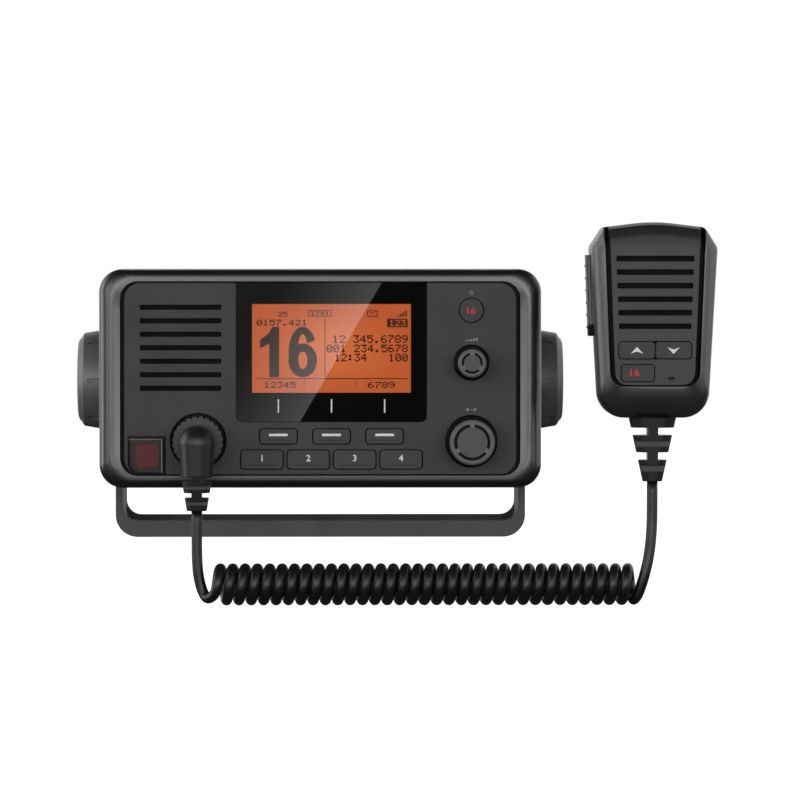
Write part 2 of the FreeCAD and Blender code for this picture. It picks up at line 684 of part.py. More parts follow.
def speaker_driver():
    """Round loudspeaker: rim, cone basket and magnet."""
    z = BODY_Z + SLOT_TOP - SLOT_PITCH * (SLOTS - 1) / 2
    back = PANEL_BACK + SPEAKER_T
    basket = turned([(PANEL_BACK, 0), (PANEL_BACK, SPEAKER_R), (PANEL_BACK + 1.5, SPEAKER_R),
                     (PANEL_BACK + 1.5, SPEAKER_R - 1.5), (back - 6, MAGNET_R + 2), (back - 5, MAGNET_R),
                     (back, MAGNET_R), (back, 0)], SLOT_X, z)
    dish = turned([(PANEL_BACK - 1, 0), (PANEL_BACK - 1, SPEAKER_R - 2), (PANEL_BACK, SPEAKER_R - 2),
                   (PANEL_BACK + 4, 4), (PANEL_BACK + 4, 0)], SLOT_X, z)
    return basket.cut(dish)


# ---------------------------------------------------------------- keys
def key(outline, flange, x, z):
    """Key cap with a flange that holds it behind the panel and a stem towards its switch."""
    cap = outline.extrude(V(0, PANEL_BACK + SLIP - (PANEL_Y - KEY_PROUD), 0))
    stem_end = NUB_TOP - KEY_TRAVEL - SLIP
    stem = drum(STEM_R, PANEL_BACK + SLIP, stem_end, x, z)
    return joined(cap, flange, stem)


def flat_key(width, height, x, z):
    """Rounded rectangular key in the front panel."""
    face = Part.Face(tile_wire(width, height, KEY_R, PANEL_Y - KEY_PROUD, x, z))
    grow = 2 * (KEY_FLANGE + KEY_GAP)
    back = PANEL_BACK + SLIP
    return key(face, tile(width + grow, height + grow, KEY_R, back, back + KEY_FLANGE_T, x, z), x, z)


def power_key():
    """Round key above the knobs."""
    z = BODY_Z + POWER_Z
    face = Part.Face(Part.Wire(Part.makeCircle(POWER_R, V(CONTROL_X, PANEL_Y - KEY_PROUD, z), V(0, 1, 0))))
    back = PANEL_BACK + SLIP
    flange = drum(POWER_R + KEY_GAP + KEY_FLANGE, back, back + KEY_FLANGE_T, CONTROL_X, z)
    return key(face, flange, CONTROL_X, z)


def red_key_z():
    """Height of the covered key's middle."""
    return DOOR_FOOT_Z + DOOR_H / 2 - RED_KEY_DROP


def distress_key():
    """Covered key: its cap lies in the floor behind the door."""
    z = red_key_z()
    back = PANEL_BACK + SLIP
    cap = tile(RED_KEY_W, RED_KEY_W, KEY_R, DOOR_FLOOR, back, DOOR_X, z)
    rim = RED_KEY_W + 2 * (KEY_FLANGE + KEY_GAP)
    flange = tile(rim, rim, KEY_R, back, back + KEY_FLANGE_T, DOOR_X, z)
    stem = drum(STEM_R, back, NUB_TOP - KEY_TRAVEL - SLIP, DOOR_X, z)
    return joined(cap, flange, stem)


def distress_door():
    """Clear cover over the red key, with its hinge barrel along the top edge."""
    leaf = door_outline(0, DOOR_FRONT).extrude(V(0, DOOR_T, 0))
    top = DOOR_AXIS_Z + DOOR_T
    leaf = leaf.cut(block(DOOR_X - DOOR_W, DOOR_X + DOOR_W, DOOR_FRONT - 1, DOOR_BACK + 1, DOOR_AXIS_Z, top))
    barrel = rod(DOOR_T / 2, DOOR_X - DOOR_W / 2, DOOR_X + DOOR_W / 2, DOOR_AXIS_Y, DOOR_AXIS_Z)
    hole = rod(DOOR_PIN_R + FIT, DOOR_X - DOOR_W, DOOR_X + DOOR_W, DOOR_AXIS_Y, DOOR_AXIS_Z)
    return joined(leaf, barrel).cut(hole)


def distress_hinge_pin():
    """Pin that the cover turns on."""
    half = DOOR_W / 2 + EASE + PIN_BITE
    return rod(DOOR_PIN_R, DOOR_X - half, DOOR_X + half, DOOR_AXIS_Y, DOOR_AXIS_Z)


def keypad_mat():
    """Rubber mat on the key board, with a dome under each key stem."""
    soft, function = key_places()
    width = FUNCTION_PITCH * (FUNCTION_KEYS - 1) + FUNCTION_W + MAT_EDGE
    top, foot = SOFT_Z + SOFT_H / 2, FUNCTION_Z - FUNCTION_H / 2 + KEY_FLANGE
    sheet = tile(width, top - foot, KEY_R, KEY_BOARD_FRONT - MAT_T, KEY_BOARD_FRONT, WINDOW_X,
                 BODY_Z + (top + foot) / 2)
    domes = [drum(NUB_R, NUB_TOP, KEY_BOARD_FRONT, x, BODY_Z + SOFT_Z) for x in soft]
    domes += [drum(NUB_R, NUB_TOP, KEY_BOARD_FRONT, x, BODY_Z + FUNCTION_Z) for x in function]
    return joined(sheet, *domes)


def key_board():
    """Board behind the panel, open round the loudspeaker, with two separate key switches."""
    board = tile(KEY_BOARD_W, KEY_BOARD_H, POST_R, KEY_BOARD_FRONT, KEY_BOARD_BACK)
    speaker_z = BODY_Z + SLOT_TOP - SLOT_PITCH * (SLOTS - 1) / 2
    board = board.cut(drum(SPEAKER_R + EASE, KEY_BOARD_FRONT - 1, KEY_BOARD_BACK + 1, SLOT_X, speaker_z))
    switches = [drum(NUB_R, NUB_TOP, KEY_BOARD_FRONT, CONTROL_X, BODY_Z + POWER_Z),
                drum(NUB_R, NUB_TOP, KEY_BOARD_FRONT, DOOR_X, red_key_z())]
    return joined(board, *switches)


# ---------------------------------------------------------------- knobs
def flatted_shaft(radius, flat, y0, y1, z):
    """Round shaft with a flat on its upper side."""
    shaft = drum(radius, y0, y1, CONTROL_X, z)
    return shaft.cut(block(CONTROL_X - radius, CONTROL_X + radius, y0 - 1, y1 + 1, z + flat, z + radius + 1))


def knob(base_r, body_r, height, ring, z):
    """Turned knob with a base flange, a flatted bore and a broken ring groove in its face."""
    back = PANEL_Y - KNOB_GAP
    front = back - height
    body = turned([(back, 0), (back, base_r), (back - KNOB_BASE_T + KNOB_EDGE, base_r),
                   (back - KNOB_BASE_T, base_r - KNOB_EDGE), (back - KNOB_BASE_T, body_r),
                   (front + KNOB_EDGE, body_r), (front, body_r - KNOB_EDGE), (front, 0)], CONTROL_X, z)
    groove = drum(ring[1], front - 1, front + RING_DEEP, CONTROL_X, z)
    groove = groove.cut(drum(ring[0], front - 1, front + RING_DEEP, CONTROL_X, z))
    bridges = []
    for angle in (0, 120, 240):
        bridge = block(CONTROL_X - RING_BRIDGE / 2, CONTROL_X + RING_BRIDGE / 2, front - 2,
                       front + RING_DEEP + 1, z, z + body_r)
        bridge.rotate(V(CONTROL_X, 0, z), V(0, 1, 0), angle)
        bridges.append(bridge)
    bore = flatted_shaft(SHAFT_R + FIT, SHAFT_FLAT + FIT, front + KNOB_CAP_T, back + 1, z)
    return body.cut([groove.cut(bridges), bore])


def knob_shaft(height, z):
    """Shaft from the rotary switch into the knob, short of its end by the push travel."""
    front = PANEL_Y - KNOB_GAP - height + KNOB_CAP_T + KNOB_TRAVEL + SLIP
    knee = PANEL_Y - KNOB_GAP + KNOB_TRAVEL + SLIP
    return joined(drum(SHAFT_R, knee, SHAFT_BACK, CONTROL_X, z), flatted_shaft(SHAFT_R, SHAFT_FLAT, front, knee, z))


def rotary_switches():
    """Bodies of the two rotary switches, with a bushing through the panel."""
    bodies = []
    for z in (BODY_Z + VOLUME_Z, BODY_Z + SELECT_Z):
        case = tile(ENCODER_W, ENCODER_W, KEY_R, PANEL_BACK, KEY_BOARD_FRONT, CONTROL_X, z)
        bushing = drum(BUSHING_R, PANEL_Y + SLIP, PANEL_BACK, CONTROL_X, z)
        bore = drum(SHAFT_R + FIT, PANEL_Y - 1, KEY_BOARD_FRONT + 1, CONTROL_X, z)
        bodies.append(joined(case, bushing).cut(bore))
    return Part.makeCompound(bodies)


# ---------------------------------------------------------------- socket and plug
def mic_socket():
    """Round socket with a threaded barrel, contact pins and a tail on the key board."""
    z = BODY_Z + SOCKET_Z
    floor = PANEL_BACK
    flange = drum(SOCKET_R, PANEL_BACK, PANEL_BACK + SOCKET_T, SOCKET_X, z)
    tail = tile(2 * BARREL_R, 2 * BARREL_R, KEY_R, PANEL_BACK + SOCKET_T, KEY_BOARD_FRONT, SOCKET_X, z)
    barrel = drum(BARREL_R, BARREL_Y, PANEL_BACK, SOCKET_X, z)
    body = joined(flange, tail, barrel).cut(drum(SOCKET_BORE_R, BARREL_Y - 1, floor, SOCKET_X, z))
    pins = []
    for index in range(SOCKET_PINS):
        turn = 2 * math.pi * index / SOCKET_PINS
        pins.append(drum(SOCKET_PIN_R, BARREL_Y + 1, floor, SOCKET_X + SOCKET_PIN_CIRCLE * math.cos(turn),
                         z + SOCKET_PIN_CIRCLE * math.sin(turn)))
    return joined(body, *pins)


def plug_shell():
    """Metal shell of the plug, with the shoulder that the coupling ring pulls on."""
    z = BODY_Z + SOCKET_Z
    back = PANEL_BACK - EASE
    shoulder = BARREL_Y - EASE
    front = RING_FRONT - 2.5
    body = joined(drum(SHELL_R, front, back, SOCKET_X, z),
                  drum(SHOULDER_R, shoulder - SHOULDER_T, shoulder, SOCKET_X, z))
    return body.cut(drum(SHELL_R - SHELL_T, BARREL_Y - SHOULDER_T, back + 1, SOCKET_X, z))


def coupling_ring():
    """Fluted ring that turns round the barrel and holds the plug in."""
    z = BODY_Z + SOCKET_Z
    lip = BARREL_Y - 2 * EASE - SHOULDER_T
    ring = drum(RING_R, RING_FRONT, RING_BACK, SOCKET_X, z)
    bores = [drum(BARREL_R + FIT, lip, RING_BACK + 1, SOCKET_X, z),
             drum(SHELL_R + EASE, RING_FRONT - 1, lip, SOCKET_X, z)]
    for index in range(RING_FLUTES):
        turn = 2 * math.pi * index / RING_FLUTES
        bores.append(drum(RING_FLUTE_R, RING_FRONT - 1, RING_BACK + 1, SOCKET_X + RING_R * math.cos(turn),
                          z + RING_R * math.sin(turn)))
    return ring.cut(bores)


def strain_relief(sizes, x, top):
    """Tapered bend relief, cut from the sides and from the faces in turn."""
    foot = top - sizes["length"]
    rings = []
    for (width, depth), z in ((sizes["top"], top), (sizes["foot"], foot)):
        w, d = width / 2, depth / 2
        points = [V(x - w, CORD_Y - d, z), V(x + w, CORD_Y - d, z), V(x + w, CORD_Y + d, z),
                  V(x - w, CORD_Y + d, z)]
        rings.append(rounded_wire(points, [min(w, d) * 0.85] * 4))
    body = Part.makeLoft(rings, True, True)
    cuts = []
    spine, far = RELIEF_SPINE / 2, sizes["top"][0]
    for index in range(RELIEF_CUTS):
        middle = top - sizes["first"] - sizes["pitch"] * index
        half = sizes["groove" if index % 2 else "notch"] / 2
        for side in (-1, 1):
            near, out = sorted((side * spine, side * far))
            if index % 2:
                cuts.append(block(x - far, x + far, CORD_Y + near, CORD_Y + out, middle - half, middle + half))
            else:
                cuts.append(block(x + near, x + out, CORD_Y - far, CORD_Y + far, middle - half, middle + half))
    return body.cut(cuts)


def plug_boot():
    """Moulded right-angle boot of the plug, ending in its strain relief."""
    z = BODY_Z + SOCKET_Z
    start = RING_FRONT - EASE
    leg_foot = z - BOOT_LEG
    neck = drum(BOOT_R, CORD_Y, start, SOCKET_X, z)
    dome = Part.makeSphere(BOOT_R, V(SOCKET_X, CORD_Y, z))
    leg = Part.makeCone(BOOT_FOOT_R, BOOT_R, BOOT_LEG, V(SOCKET_X, CORD_Y, leg_foot))
    body = joined(neck, dome, leg, strain_relief(PLUG_RELIEF, SOCKET_X, leg_foot))
    return body.cut(drum(SHELL_R + FIT, RING_FRONT - 2.5 - FIT, start + 1, SOCKET_X, z))


# ---------------------------------------------------------------- chassis
def chassis_hull():
    """Outside of the die-cast chassis: seat, case, pivot pads, fins and top ribs."""
    mid = CHASSIS_H / 2
    parts = [tile(BEZEL_W - 2 * SEAT_STEP, BEZEL_H - 2 * SEAT_STEP, BEZEL_R - SEAT_STEP, SEAT_Y, SEAT_Y + SEAT_T),
             tile(CHASSIS_W, CHASSIS_H, CHASSIS_R, SEAT_Y, CHASSIS_BACK)]
    parts += [rod(PAD_R, *sorted((side * (CHASSIS_W / 2 - 1), side * PAD_X)), 0, PIVOT_Z) for side in (-1, 1)]
    fin_span = CHASSIS_W - 2 * CHASSIS_R - FIN_T
    for index in range(FINS):
        x = -fin_span / 2 + fin_span * index / (FINS - 1)
        parts.append(block(x - FIN_T / 2, x + FIN_T / 2, CHASSIS_BACK - 1, CHASSIS_BACK + FIN_H,
                           BODY_Z, BODY_Z + mid - CHASSIS_R / 2))
    rib_span = CHASSIS_W - 4 * CHASSIS_R
    for index in range(TOP_RIBS):
        x = -rib_span / 2 + rib_span * index / (TOP_RIBS - 1)
        parts.append(block(x - FIN_T / 2, x + FIN_T / 2, SEAT_Y + SEAT_T, CHASSIS_BACK - CHASSIS_R,
                           BODY_Z + mid - 1, BODY_Z + mid + TOP_RIB_H))
    return joined(*parts)


def chassis():
    """Rear housing that carries the main board and the tilt pivots."""
    floor = BODY_Z - CHASSIS_H / 2 + CHASSIS_WALL
    hollow = tile(CHASSIS_W - 2 * CHASSIS_WALL, CHASSIS_H - 2 * CHASSIS_WALL, CHASSIS_R - CHASSIS_WALL,
                  SEAT_Y - 1, CHASSIS_BACK - CHASSIS_WALL)
    inner = PAD_X - STUD_BITE
    wall = CHASSIS_W / 2 - CHASSIS_WALL
    bosses = [rod(INSERT_R + CHASSIS_WALL, *sorted((side * (inner - CHASSIS_WALL), side * (wall + 1))), 0, PIVOT_Z)
              for side in (-1, 1)]
    posts = [post(CASE_BOSS_R, floor - 1, BODY_Z + MAIN_BOARD_Z, x, y) for x, y in board_posts()]
    body = joined(chassis_hull().cut(hollow), *bosses, *posts)
    cuts = [rod(INSERT_R + FIT, *sorted((side * inner, side * (PAD_X + 1))), 0, PIVOT_Z) for side in (-1, 1)]
    cuts += [drum(CASE_SCREW_R + EASE, SEAT_Y - 1, SEAT_Y + SEAT_T + 1, x, z)
             for x, z in corners(CASE_BOSS_DX, CASE_BOSS_DZ, z=BODY_Z)]
    back = (CHASSIS_BACK - CHASSIS_WALL - 1, CHASSIS_BACK + 1)
    cuts.append(drum(ANTENNA_R + FIT, *back, ANTENNA_X, BODY_Z + REAR_Z))
    cuts.append(drum(ANTENNA_R + FIT, *back, 0, BODY_Z + REAR_Z))
    cuts.append(tile(2 * ANTENNA_R + 2 * FIT, ANTENNA_R + 2 * FIT, KEY_R, *back, -ANTENNA_X, BODY_Z + REAR_Z))
    return body.cut(cuts)


def case_gasket():
    """Flat seal between the front housing and the chassis."""
    width, height = BEZEL_W - 2 * SEAT_STEP, BEZEL_H - 2 * SEAT_STEP
    ring = tile(width, height, BEZEL_R - SEAT_STEP, BEZEL_BACK, SEAT_Y)
    ring = ring.cut(tile(width - 2 * GASKET_W, height - 2 * GASKET_W, BEZEL_R - GASKET_W, BEZEL_BACK, SEAT_Y))
    lugs = [drum(CASE_BOSS_R, BEZEL_BACK, SEAT_Y, x, z).common(tile(width, height, BEZEL_R, BEZEL_BACK, SEAT_Y))
            for x, z in corners(CASE_BOSS_DX, CASE_BOSS_DZ, z=BODY_Z)]
    holes = [drum(CASE_SCREW_R + EASE, BEZEL_BACK - 1, SEAT_Y + 1, x, z)
             for x, z in corners(CASE_BOSS_DX, CASE_BOSS_DZ, z=BODY_Z)]
    return joined(ring, *lugs).cut(holes)


def case_screws():
    """Four screws that draw the chassis and the gasket onto the front housing."""
    screws = []
    seat = SEAT_Y + SEAT_T
    for x, z in corners(CASE_BOSS_DX, CASE_BOSS_DZ, z=BODY_Z):
        shank = drum(CASE_SCREW_R, BEZEL_BACK - CASE_SCREW_L + EASE, seat, x, z)
        head = drum(CASE_HEAD_R, seat, seat + CASE_HEAD_T, x, z)
        recess = [block(x - w, x + w, seat + CASE_HEAD_T - 1.2, seat + CASE_HEAD_T + 1, z - h, z + h)
                  for w, h in ((1.6, 0.4), (0.4, 1.6))]
        screws.append(joined(shank, head).cut(recess))
    return Part.makeCompound(screws)


# ---------------------------------------------------------------- inside the chassis
def board_span():
    """Front and back edges of the main board."""
    return SEAT_Y + MAIN_BOARD_END, CHASSIS_BACK - CHASSIS_WALL - MAIN_BOARD_END


def board_posts():
    """Posts under the corners of the main board."""
    front, back = board_span()
    inset = 2 * CASE_BOSS_R
    return [(sx * (MAIN_BOARD_W / 2 - inset), y) for sx in (-1, 1) for y in (front + inset, back - inset)]


def main_board():
    """Radio board on four posts."""
    front, back = board_span()
    z = BODY_Z + MAIN_BOARD_Z
    board = block(-MAIN_BOARD_W / 2, MAIN_BOARD_W / 2, front, back, z, z + BOARD_T)
    return board


def rf_shield():
    """Folded shield can over the receiver."""
    z = BODY_Z + MAIN_BOARD_Z + BOARD_T
    width, depth, height = SHIELD
    x0, x1 = SHIELD_X - width / 2, SHIELD_X + width / 2
    y0, y1 = SHIELD_Y - depth / 2, SHIELD_Y + depth / 2
    can = block(x0, x1, y0, y1, z, z + height)
    return can.cut(block(x0 + SHIELD_T, x1 - SHIELD_T, y0 + SHIELD_T, y1 - SHIELD_T, z - 1, z + height - SHIELD_T))


def board_parts():
    """Capacitors, power module and headers on the main board."""
    z = BODY_Z + MAIN_BOARD_Z + BOARD_T
    shield_end = SHIELD_X + SHIELD[0] / 2
    front = board_span()[0]
    row = SHIELD_Y - SHIELD[1] / 2 - 2 * CAPACITOR_R
    cans = [post(CAPACITOR_R, z, z + CAPACITOR_H, SHIELD_X - SHIELD[0] / 2 + CAPACITOR_PITCH * (index - 1.5), row)
            for index in range(3)]
    x = shield_end + SHIELD_T + MODULE[0] / 2 + EASE
    module = block(x - MODULE[0] / 2, x + MODULE[0] / 2, SHIELD_Y - MODULE[1] / 2, SHIELD_Y + MODULE[1] / 2,
                   z, z + MODULE[2])
    header = block(shield_end - HEADER[0] / 2, shield_end + HEADER[0] / 2, front + SHIELD_T,
                   front + SHIELD_T + HEADER[1], z, z + HEADER[2])
    coils = [post(COIL_R, z, z + COIL_H, SHIELD_X - SHIELD[0] / 2 - 3 * COIL_R, SHIELD_Y + COIL_R * place)
             for place in (-1.25, 1.25)]
    screws = [post(CASE_HEAD_R, z, z + CASE_HEAD_T, x, y) for x, y in board_posts()]
    return Part.makeCompound(cans + [module, header] + coils + screws)


def ribbon_cable():
    """Flat cable from the key board down to the main board."""
    z = BODY_Z + MAIN_BOARD_Z + BOARD_T
    board = board_span()[0]
    line = [(KEY_BOARD_BACK, z + RIBBON_RISE), (KEY_BOARD_BACK + RIBBON_RUN, z + RIBBON_RISE),
            (board - SHIELD_T, z), (board + RIBBON_RUN / 2, z)]
    upper = [(y, height + RIBBON_T) for y, height in reversed(line)]
    points = [V(-RIBBON_W / 2, y, height) for y, height in line + upper]
    return Part.Face(Part.makePolygon(points + points[:1])).extrude(V(RIBBON_W, 0, 0))


def gps_antenna():
    """Ceramic patch with its metal face, under the top of the chassis."""
    roof = BODY_Z + CHASSIS_H / 2 - CHASSIS_WALL
    half, wide = PATCH / 2, PATCH / 2 + PATCH_EDGE
    ground = block(-wide, wide, PATCH_Y - wide, PATCH_Y + wide, roof - SHIELD_T, roof)
    patch = block(-half, half, PATCH_Y - half, PATCH_Y + half, roof - SHIELD_T - PATCH_T, roof - SHIELD_T)
    return joined(ground, patch)


def antenna_socket():
    """Coaxial socket on a square flange, with its insulator and centre contact."""
    z = BODY_Z + REAR_Z
    back = CHASSIS_BACK
    flange = tile(ANTENNA_FLANGE, ANTENNA_FLANGE, KEY_R, back, back + 2, ANTENNA_X, z)
    shell = drum(ANTENNA_R, back - CHASSIS_WALL, back + ANTENNA_L, ANTENNA_X, z)
    bore = drum(ANTENNA_BORE_R, back - CHASSIS_WALL - 1, back + ANTENNA_L + 1, ANTENNA_X, z)
    heads = [drum(2.2, back + 2, back + 3.4, x, height)
             for x, height in corners(ANTENNA_FLANGE - 7, ANTENNA_FLANGE - 7, ANTENNA_X, z)]
    insulator = drum(ANTENNA_BORE_R - FIT, back - CHASSIS_WALL, back + ANTENNA_L - 4, ANTENNA_X, z)
    contact = drum(CONTACT_R, back - CHASSIS_WALL - 2, back + ANTENNA_L - 1, ANTENNA_X, z)
    contact = contact.cut(drum(CONTACT_BORE_R, back + 2, back + ANTENNA_L, ANTENNA_X, z))
    core = joined(insulator, contact).cut(drum(CONTACT_BORE_R, back + 2, back + ANTENNA_L, ANTENNA_X, z))
    return Part.makeCompound([joined(flange, shell, *heads).cut(bore), core])


def rear_inlets():
    """Data inlet in the middle and power inlet at the left, seen from the front."""
    z = BODY_Z + REAR_Z
    inside, back, end = CHASSIS_BACK - CHASSIS_WALL, CHASSIS_BACK, CHASSIS_BACK + INLET_L
    data = joined(drum(ANTENNA_R, inside, end, 0, z), drum(ANTENNA_R + 2, back, back + 2, 0, z))
    data = data.cut(drum(ANTENNA_R - 1.6, back + 1, end + 1, 0, z))
    pins = [drum(0.5, back + 0.5, end - 2, 3 * math.cos(turn), z + 3 * math.sin(turn))
            for turn in (0.3, 1.6, 2.8, 4.1, 5.3)]
    power = joined(tile(2 * ANTENNA_R, ANTENNA_R, KEY_R, inside, end, -ANTENNA_X, z),
                   tile(2 * ANTENNA_R + 5, ANTENNA_R + 5, KEY_R, back, back + 2, -ANTENNA_X, z))
    power = power.cut(tile(2 * ANTENNA_R - 3, ANTENNA_R - 3, KEY_R / 2, back + 1, end + 1, -ANTENNA_X, z))
    blades = [drum(1.0, back + 0.5, end - 2, -ANTENNA_X + x, z) for x in (-4, 0, 4)]
    return Part.makeCompound([joined(data, *pins), joined(power, *blades)])


# ---------------------------------------------------------------- hand microphone
def mic_wire(shape, y, inset=0.0):
    """Outline of the microphone at one depth, drawn in by a wall thickness."""
    jaw, chin, wide, shoulder, crest, crest_z, arch = shape
    half = [(jaw - inset, chin + inset), (wide - inset, shoulder - inset / 2),
            (crest - inset / 2, crest_z - inset)]
    points = [V(MIC_X + x, y, MIC_Z + z) for x, z in half]
    points.append(V(MIC_X, y, MIC_Z + arch - inset))
    points += [V(MIC_X - x, y, MIC_Z + z) for x, z in reversed(half)]
    jaw_r, shoulder_r, crest_r, arch_r = MIC_RADII
    radii = [max(jaw_r - inset, 1), shoulder_r, crest_r, arch_r, crest_r, shoulder_r, max(jaw_r - inset, 1)]
    return rounded_wire(points, radii)


def mic_form(inset, front, back):
    """Solid between two depths, inside the microphone's skin by an inset."""
    rim_y = CORD_Y - MIC_RIM
    rings = []
    for step in range(MIC_ROUND_STEPS + 1):
        lean = math.pi / 2 * step / MIC_ROUND_STEPS
        shape = [face + (wide - face) * math.sin(lean) for face, wide in zip(MIC_FACE, MIC_WIDE)]
        rings.append(mic_wire(shape, rim_y - (rim_y - MIC_FRONT_Y - inset) * math.cos(lean), inset))
    rear_rim = mic_wire(MIC_WIDE, CORD_Y + MIC_RIM, inset)
    front_half = Part.makeLoft(rings, True, True)
    middle = Part.Face(rings[-1]).extrude(V(0, 2 * MIC_RIM, 0))
    rear_half = Part.makeLoft([rear_rim, mic_wire(MIC_REAR, MIC_BACK_Y - inset, inset)], True, True)
    window = block(MIC_X - 60, MIC_X + 60, front, back, MIC_Z - 20, MIC_Z + 100)
    return joined(front_half, middle, rear_half).common(window)


def face_prism(grow, y0, y1):
    """Prism over the face insert, open at the top of the microphone."""
    low, high = FACE_LOW + grow, FACE_HIGH + grow
    foot, top = MIC_Z + FACE_FOOT - grow / 4, MIC_Z + MIC_WIDE[6] + 5
    points = [V(MIC_X - low, y0, foot), V(MIC_X + low, y0, foot), V(MIC_X + high, y0, top),
              V(MIC_X - high, y0, top)]
    return Part.Face(rounded_wire(points, [FACE_R + grow / 2, FACE_R + grow / 2, 0, 0])).extrude(V(0, y1 - y0, 0))


def mic_openings(y0, y1, grow):
    """Key openings and the speech hole in the face, between two depths."""
    cuts = [tile(2 * ARROW_W + ARROW_SPLIT + 2 * grow, ARROW_H + 2 * grow, KEY_R + grow, y0, y1, MIC_X,
                 MIC_Z + ARROW_Z),
            tile(CHANNEL_KEY_W + 2 * grow, CHANNEL_KEY_H + 2 * grow, KEY_R + grow, y0, y1,
                 MIC_X + CHANNEL_KEY_X, MIC_Z + CHANNEL_KEY_Z),
            tile(MIC_HOLE_W, MIC_HOLE_H, MIC_HOLE_H * 0.45, y0, y1, MIC_X + MIC_HOLE_X, MIC_Z + MIC_HOLE_Z)]
    for index in range(MIC_SLOTS):
        cuts.append(tile(MIC_SLOT_W - MIC_SLOT_SHRINK * index, MIC_SLOT_H, MIC_SLOT_H * SLOT_END, y0, y1,
                         MIC_X, MIC_Z + MIC_SLOT_TOP - MIC_SLOT_PITCH * index))
    return cuts


def face_skin():
    """Layer of the microphone's front, one insert thick."""
    end = CORD_Y - MIC_RIM / 2
    return mic_form(0, MIC_FRONT_Y - 1, end).cut(mic_form(FACE_T, MIC_FRONT_Y - 1, end + 1))


def mic_face():
    """Face insert with the sound slots and key openings; it runs up over the top edge."""
    insert = face_skin().common(face_prism(0, MIC_FRONT_Y - 1, CORD_Y - MIC_RIM))
    return insert.cut(mic_openings(MIC_FRONT_Y - 1, FACE_BACK_Y + MIC_WALL, KEY_GAP))


def ptt_slot(grow, x0, x1):
    """Space of the press-to-talk bar in the left side, between two X places."""
    half = PTT_L / 2 + grow
    return block(x0, x1, CORD_Y - PTT_DEPTH / 2 - grow, CORD_Y + PTT_DEPTH / 2 + grow,
                 MIC_Z + PTT_Z - half, MIC_Z + PTT_Z + half)


def mic_shell(wall, front, back):
    """One half of the microphone's case, hollow and open at the seam."""
    body = mic_form(0, front, back)
    return body.cut([mic_form(wall, front - 1, back + 1),
                     ptt_slot(EASE, MIC_X - 2 * MIC_WIDE[2], MIC_X - mic_inside())])


def mic_inside():
    """Half width of the hollow at the lower end of the press-to-talk bar."""
    jaw, _, wide, shoulder = MIC_WIDE[:4]
    foot = PTT_Z - PTT_L / 2 - PTT_FLANGE
    return jaw + (wide - jaw) * foot / shoulder - MIC_WALL - FACE_T - EASE


def key_pocket():
    """Room for the key flanges and the speech capsule behind the microphone's front."""
    behind = FACE_BACK_Y + MIC_WALL
    half = ARROW_W + ARROW_SPLIT / 2 + EASE
    low = MIC_HOLE_Z - CAPSULE_R - FIT
    high = ARROW_Z + ARROW_H / 2 + KEY_GAP + KEY_FLANGE + EASE
    return block(MIC_X - half, MIC_X + half, behind, behind + CAPSULE_T + EASE, MIC_Z + low, MIC_Z + high)


def mic_front_shell():
    """Front half, sunk for the face insert and open behind its slots and keys."""
    sunk = face_skin().common(face_prism(CHANNEL_W, MIC_FRONT_Y - 1, CORD_Y - MIC_RIM))
    body = mic_shell(MIC_WALL + FACE_T, MIC_FRONT_Y - 1, CORD_Y).cut(key_pocket())
    room = mic_form(MIC_WALL, MIC_FRONT_Y, CORD_Y)
    bosses = [drum(MIC_SCREW_HEAD_R + 0.5, CORD_Y - MIC_SCREW_REACH - 0.5, CORD_Y, x, z)
              .fuse(screw_web(x, z)).common(room) for x, z in mic_screw_places()]
    pilots = [drum(MIC_SCREW_R + FIT, CORD_Y - MIC_SCREW_REACH, CORD_Y + 1, x, z) for x, z in mic_screw_places()]
    openings = mic_openings(MIC_FRONT_Y - 1, FACE_BACK_Y + MIC_WALL + 1, KEY_GAP)
    return joined(body, *bosses).cut([sunk] + openings + pilots)


def mic_rear_shell():
    """Back half, with screw holes and the hole of the hang button."""
    body = mic_shell(MIC_WALL, CORD_Y, MIC_BACK_Y + 1)
    holes = [drum(BUTTON_STEM_R / 2, MIC_BACK_Y - 6, MIC_BACK_Y + 1, MIC_X, BUTTON_Z)]
    for x, z in mic_screw_places():
        holes.append(drum(MIC_SCREW_R + EASE, CORD_Y - 1, MIC_BACK_Y + 1, x, z))
        holes.append(drum(MIC_SCREW_HEAD_R + EASE, MIC_BACK_Y - 3, MIC_BACK_Y + 1, x, z))
    room = mic_form(MIC_WALL / 2, CORD_Y, MIC_BACK_Y)
    sleeves = [drum(MIC_SCREW_HEAD_R + 1, CORD_Y, MIC_BACK_Y, x, z).common(room) for x, z in mic_screw_places()]
    return joined(body, *sleeves).cut(holes)


def mic_speaker_z():
    """Middle of the microphone's loudspeaker, level with its slots."""
    return MIC_Z + MIC_SLOT_TOP - MIC_SLOT_PITCH * (MIC_SLOTS - 1) / 2


def mic_screw_places():
    """Four screws at the corners of the microphone's back, clear of the loudspeaker."""
    reach = MIC_SPEAKER_R + MIC_SCREW_HEAD_R + 0.5 + EASE
    high = mic_speaker_z() + math.sqrt(reach ** 2 - MIC_SCREW_HIGH ** 2)
    low_x, low_z = MIC_SCREW_LOW
    return [(MIC_X + side * x, z) for side in (-1, 1) for x, z in ((low_x, MIC_Z + low_z), (MIC_SCREW_HIGH, high))]


def screw_web(x, z):
    """Upright web that ties a screw boss to the nearer end of the case."""
    reach = MIC_WEB_H if z > BUTTON_Z else -MIC_WEB_H
    low, high = sorted((z, z + reach))
    return block(x - MIC_WEB_T / 2, x + MIC_WEB_T / 2, CORD_Y - MIC_SCREW_REACH - 0.5, CORD_Y, low, high)


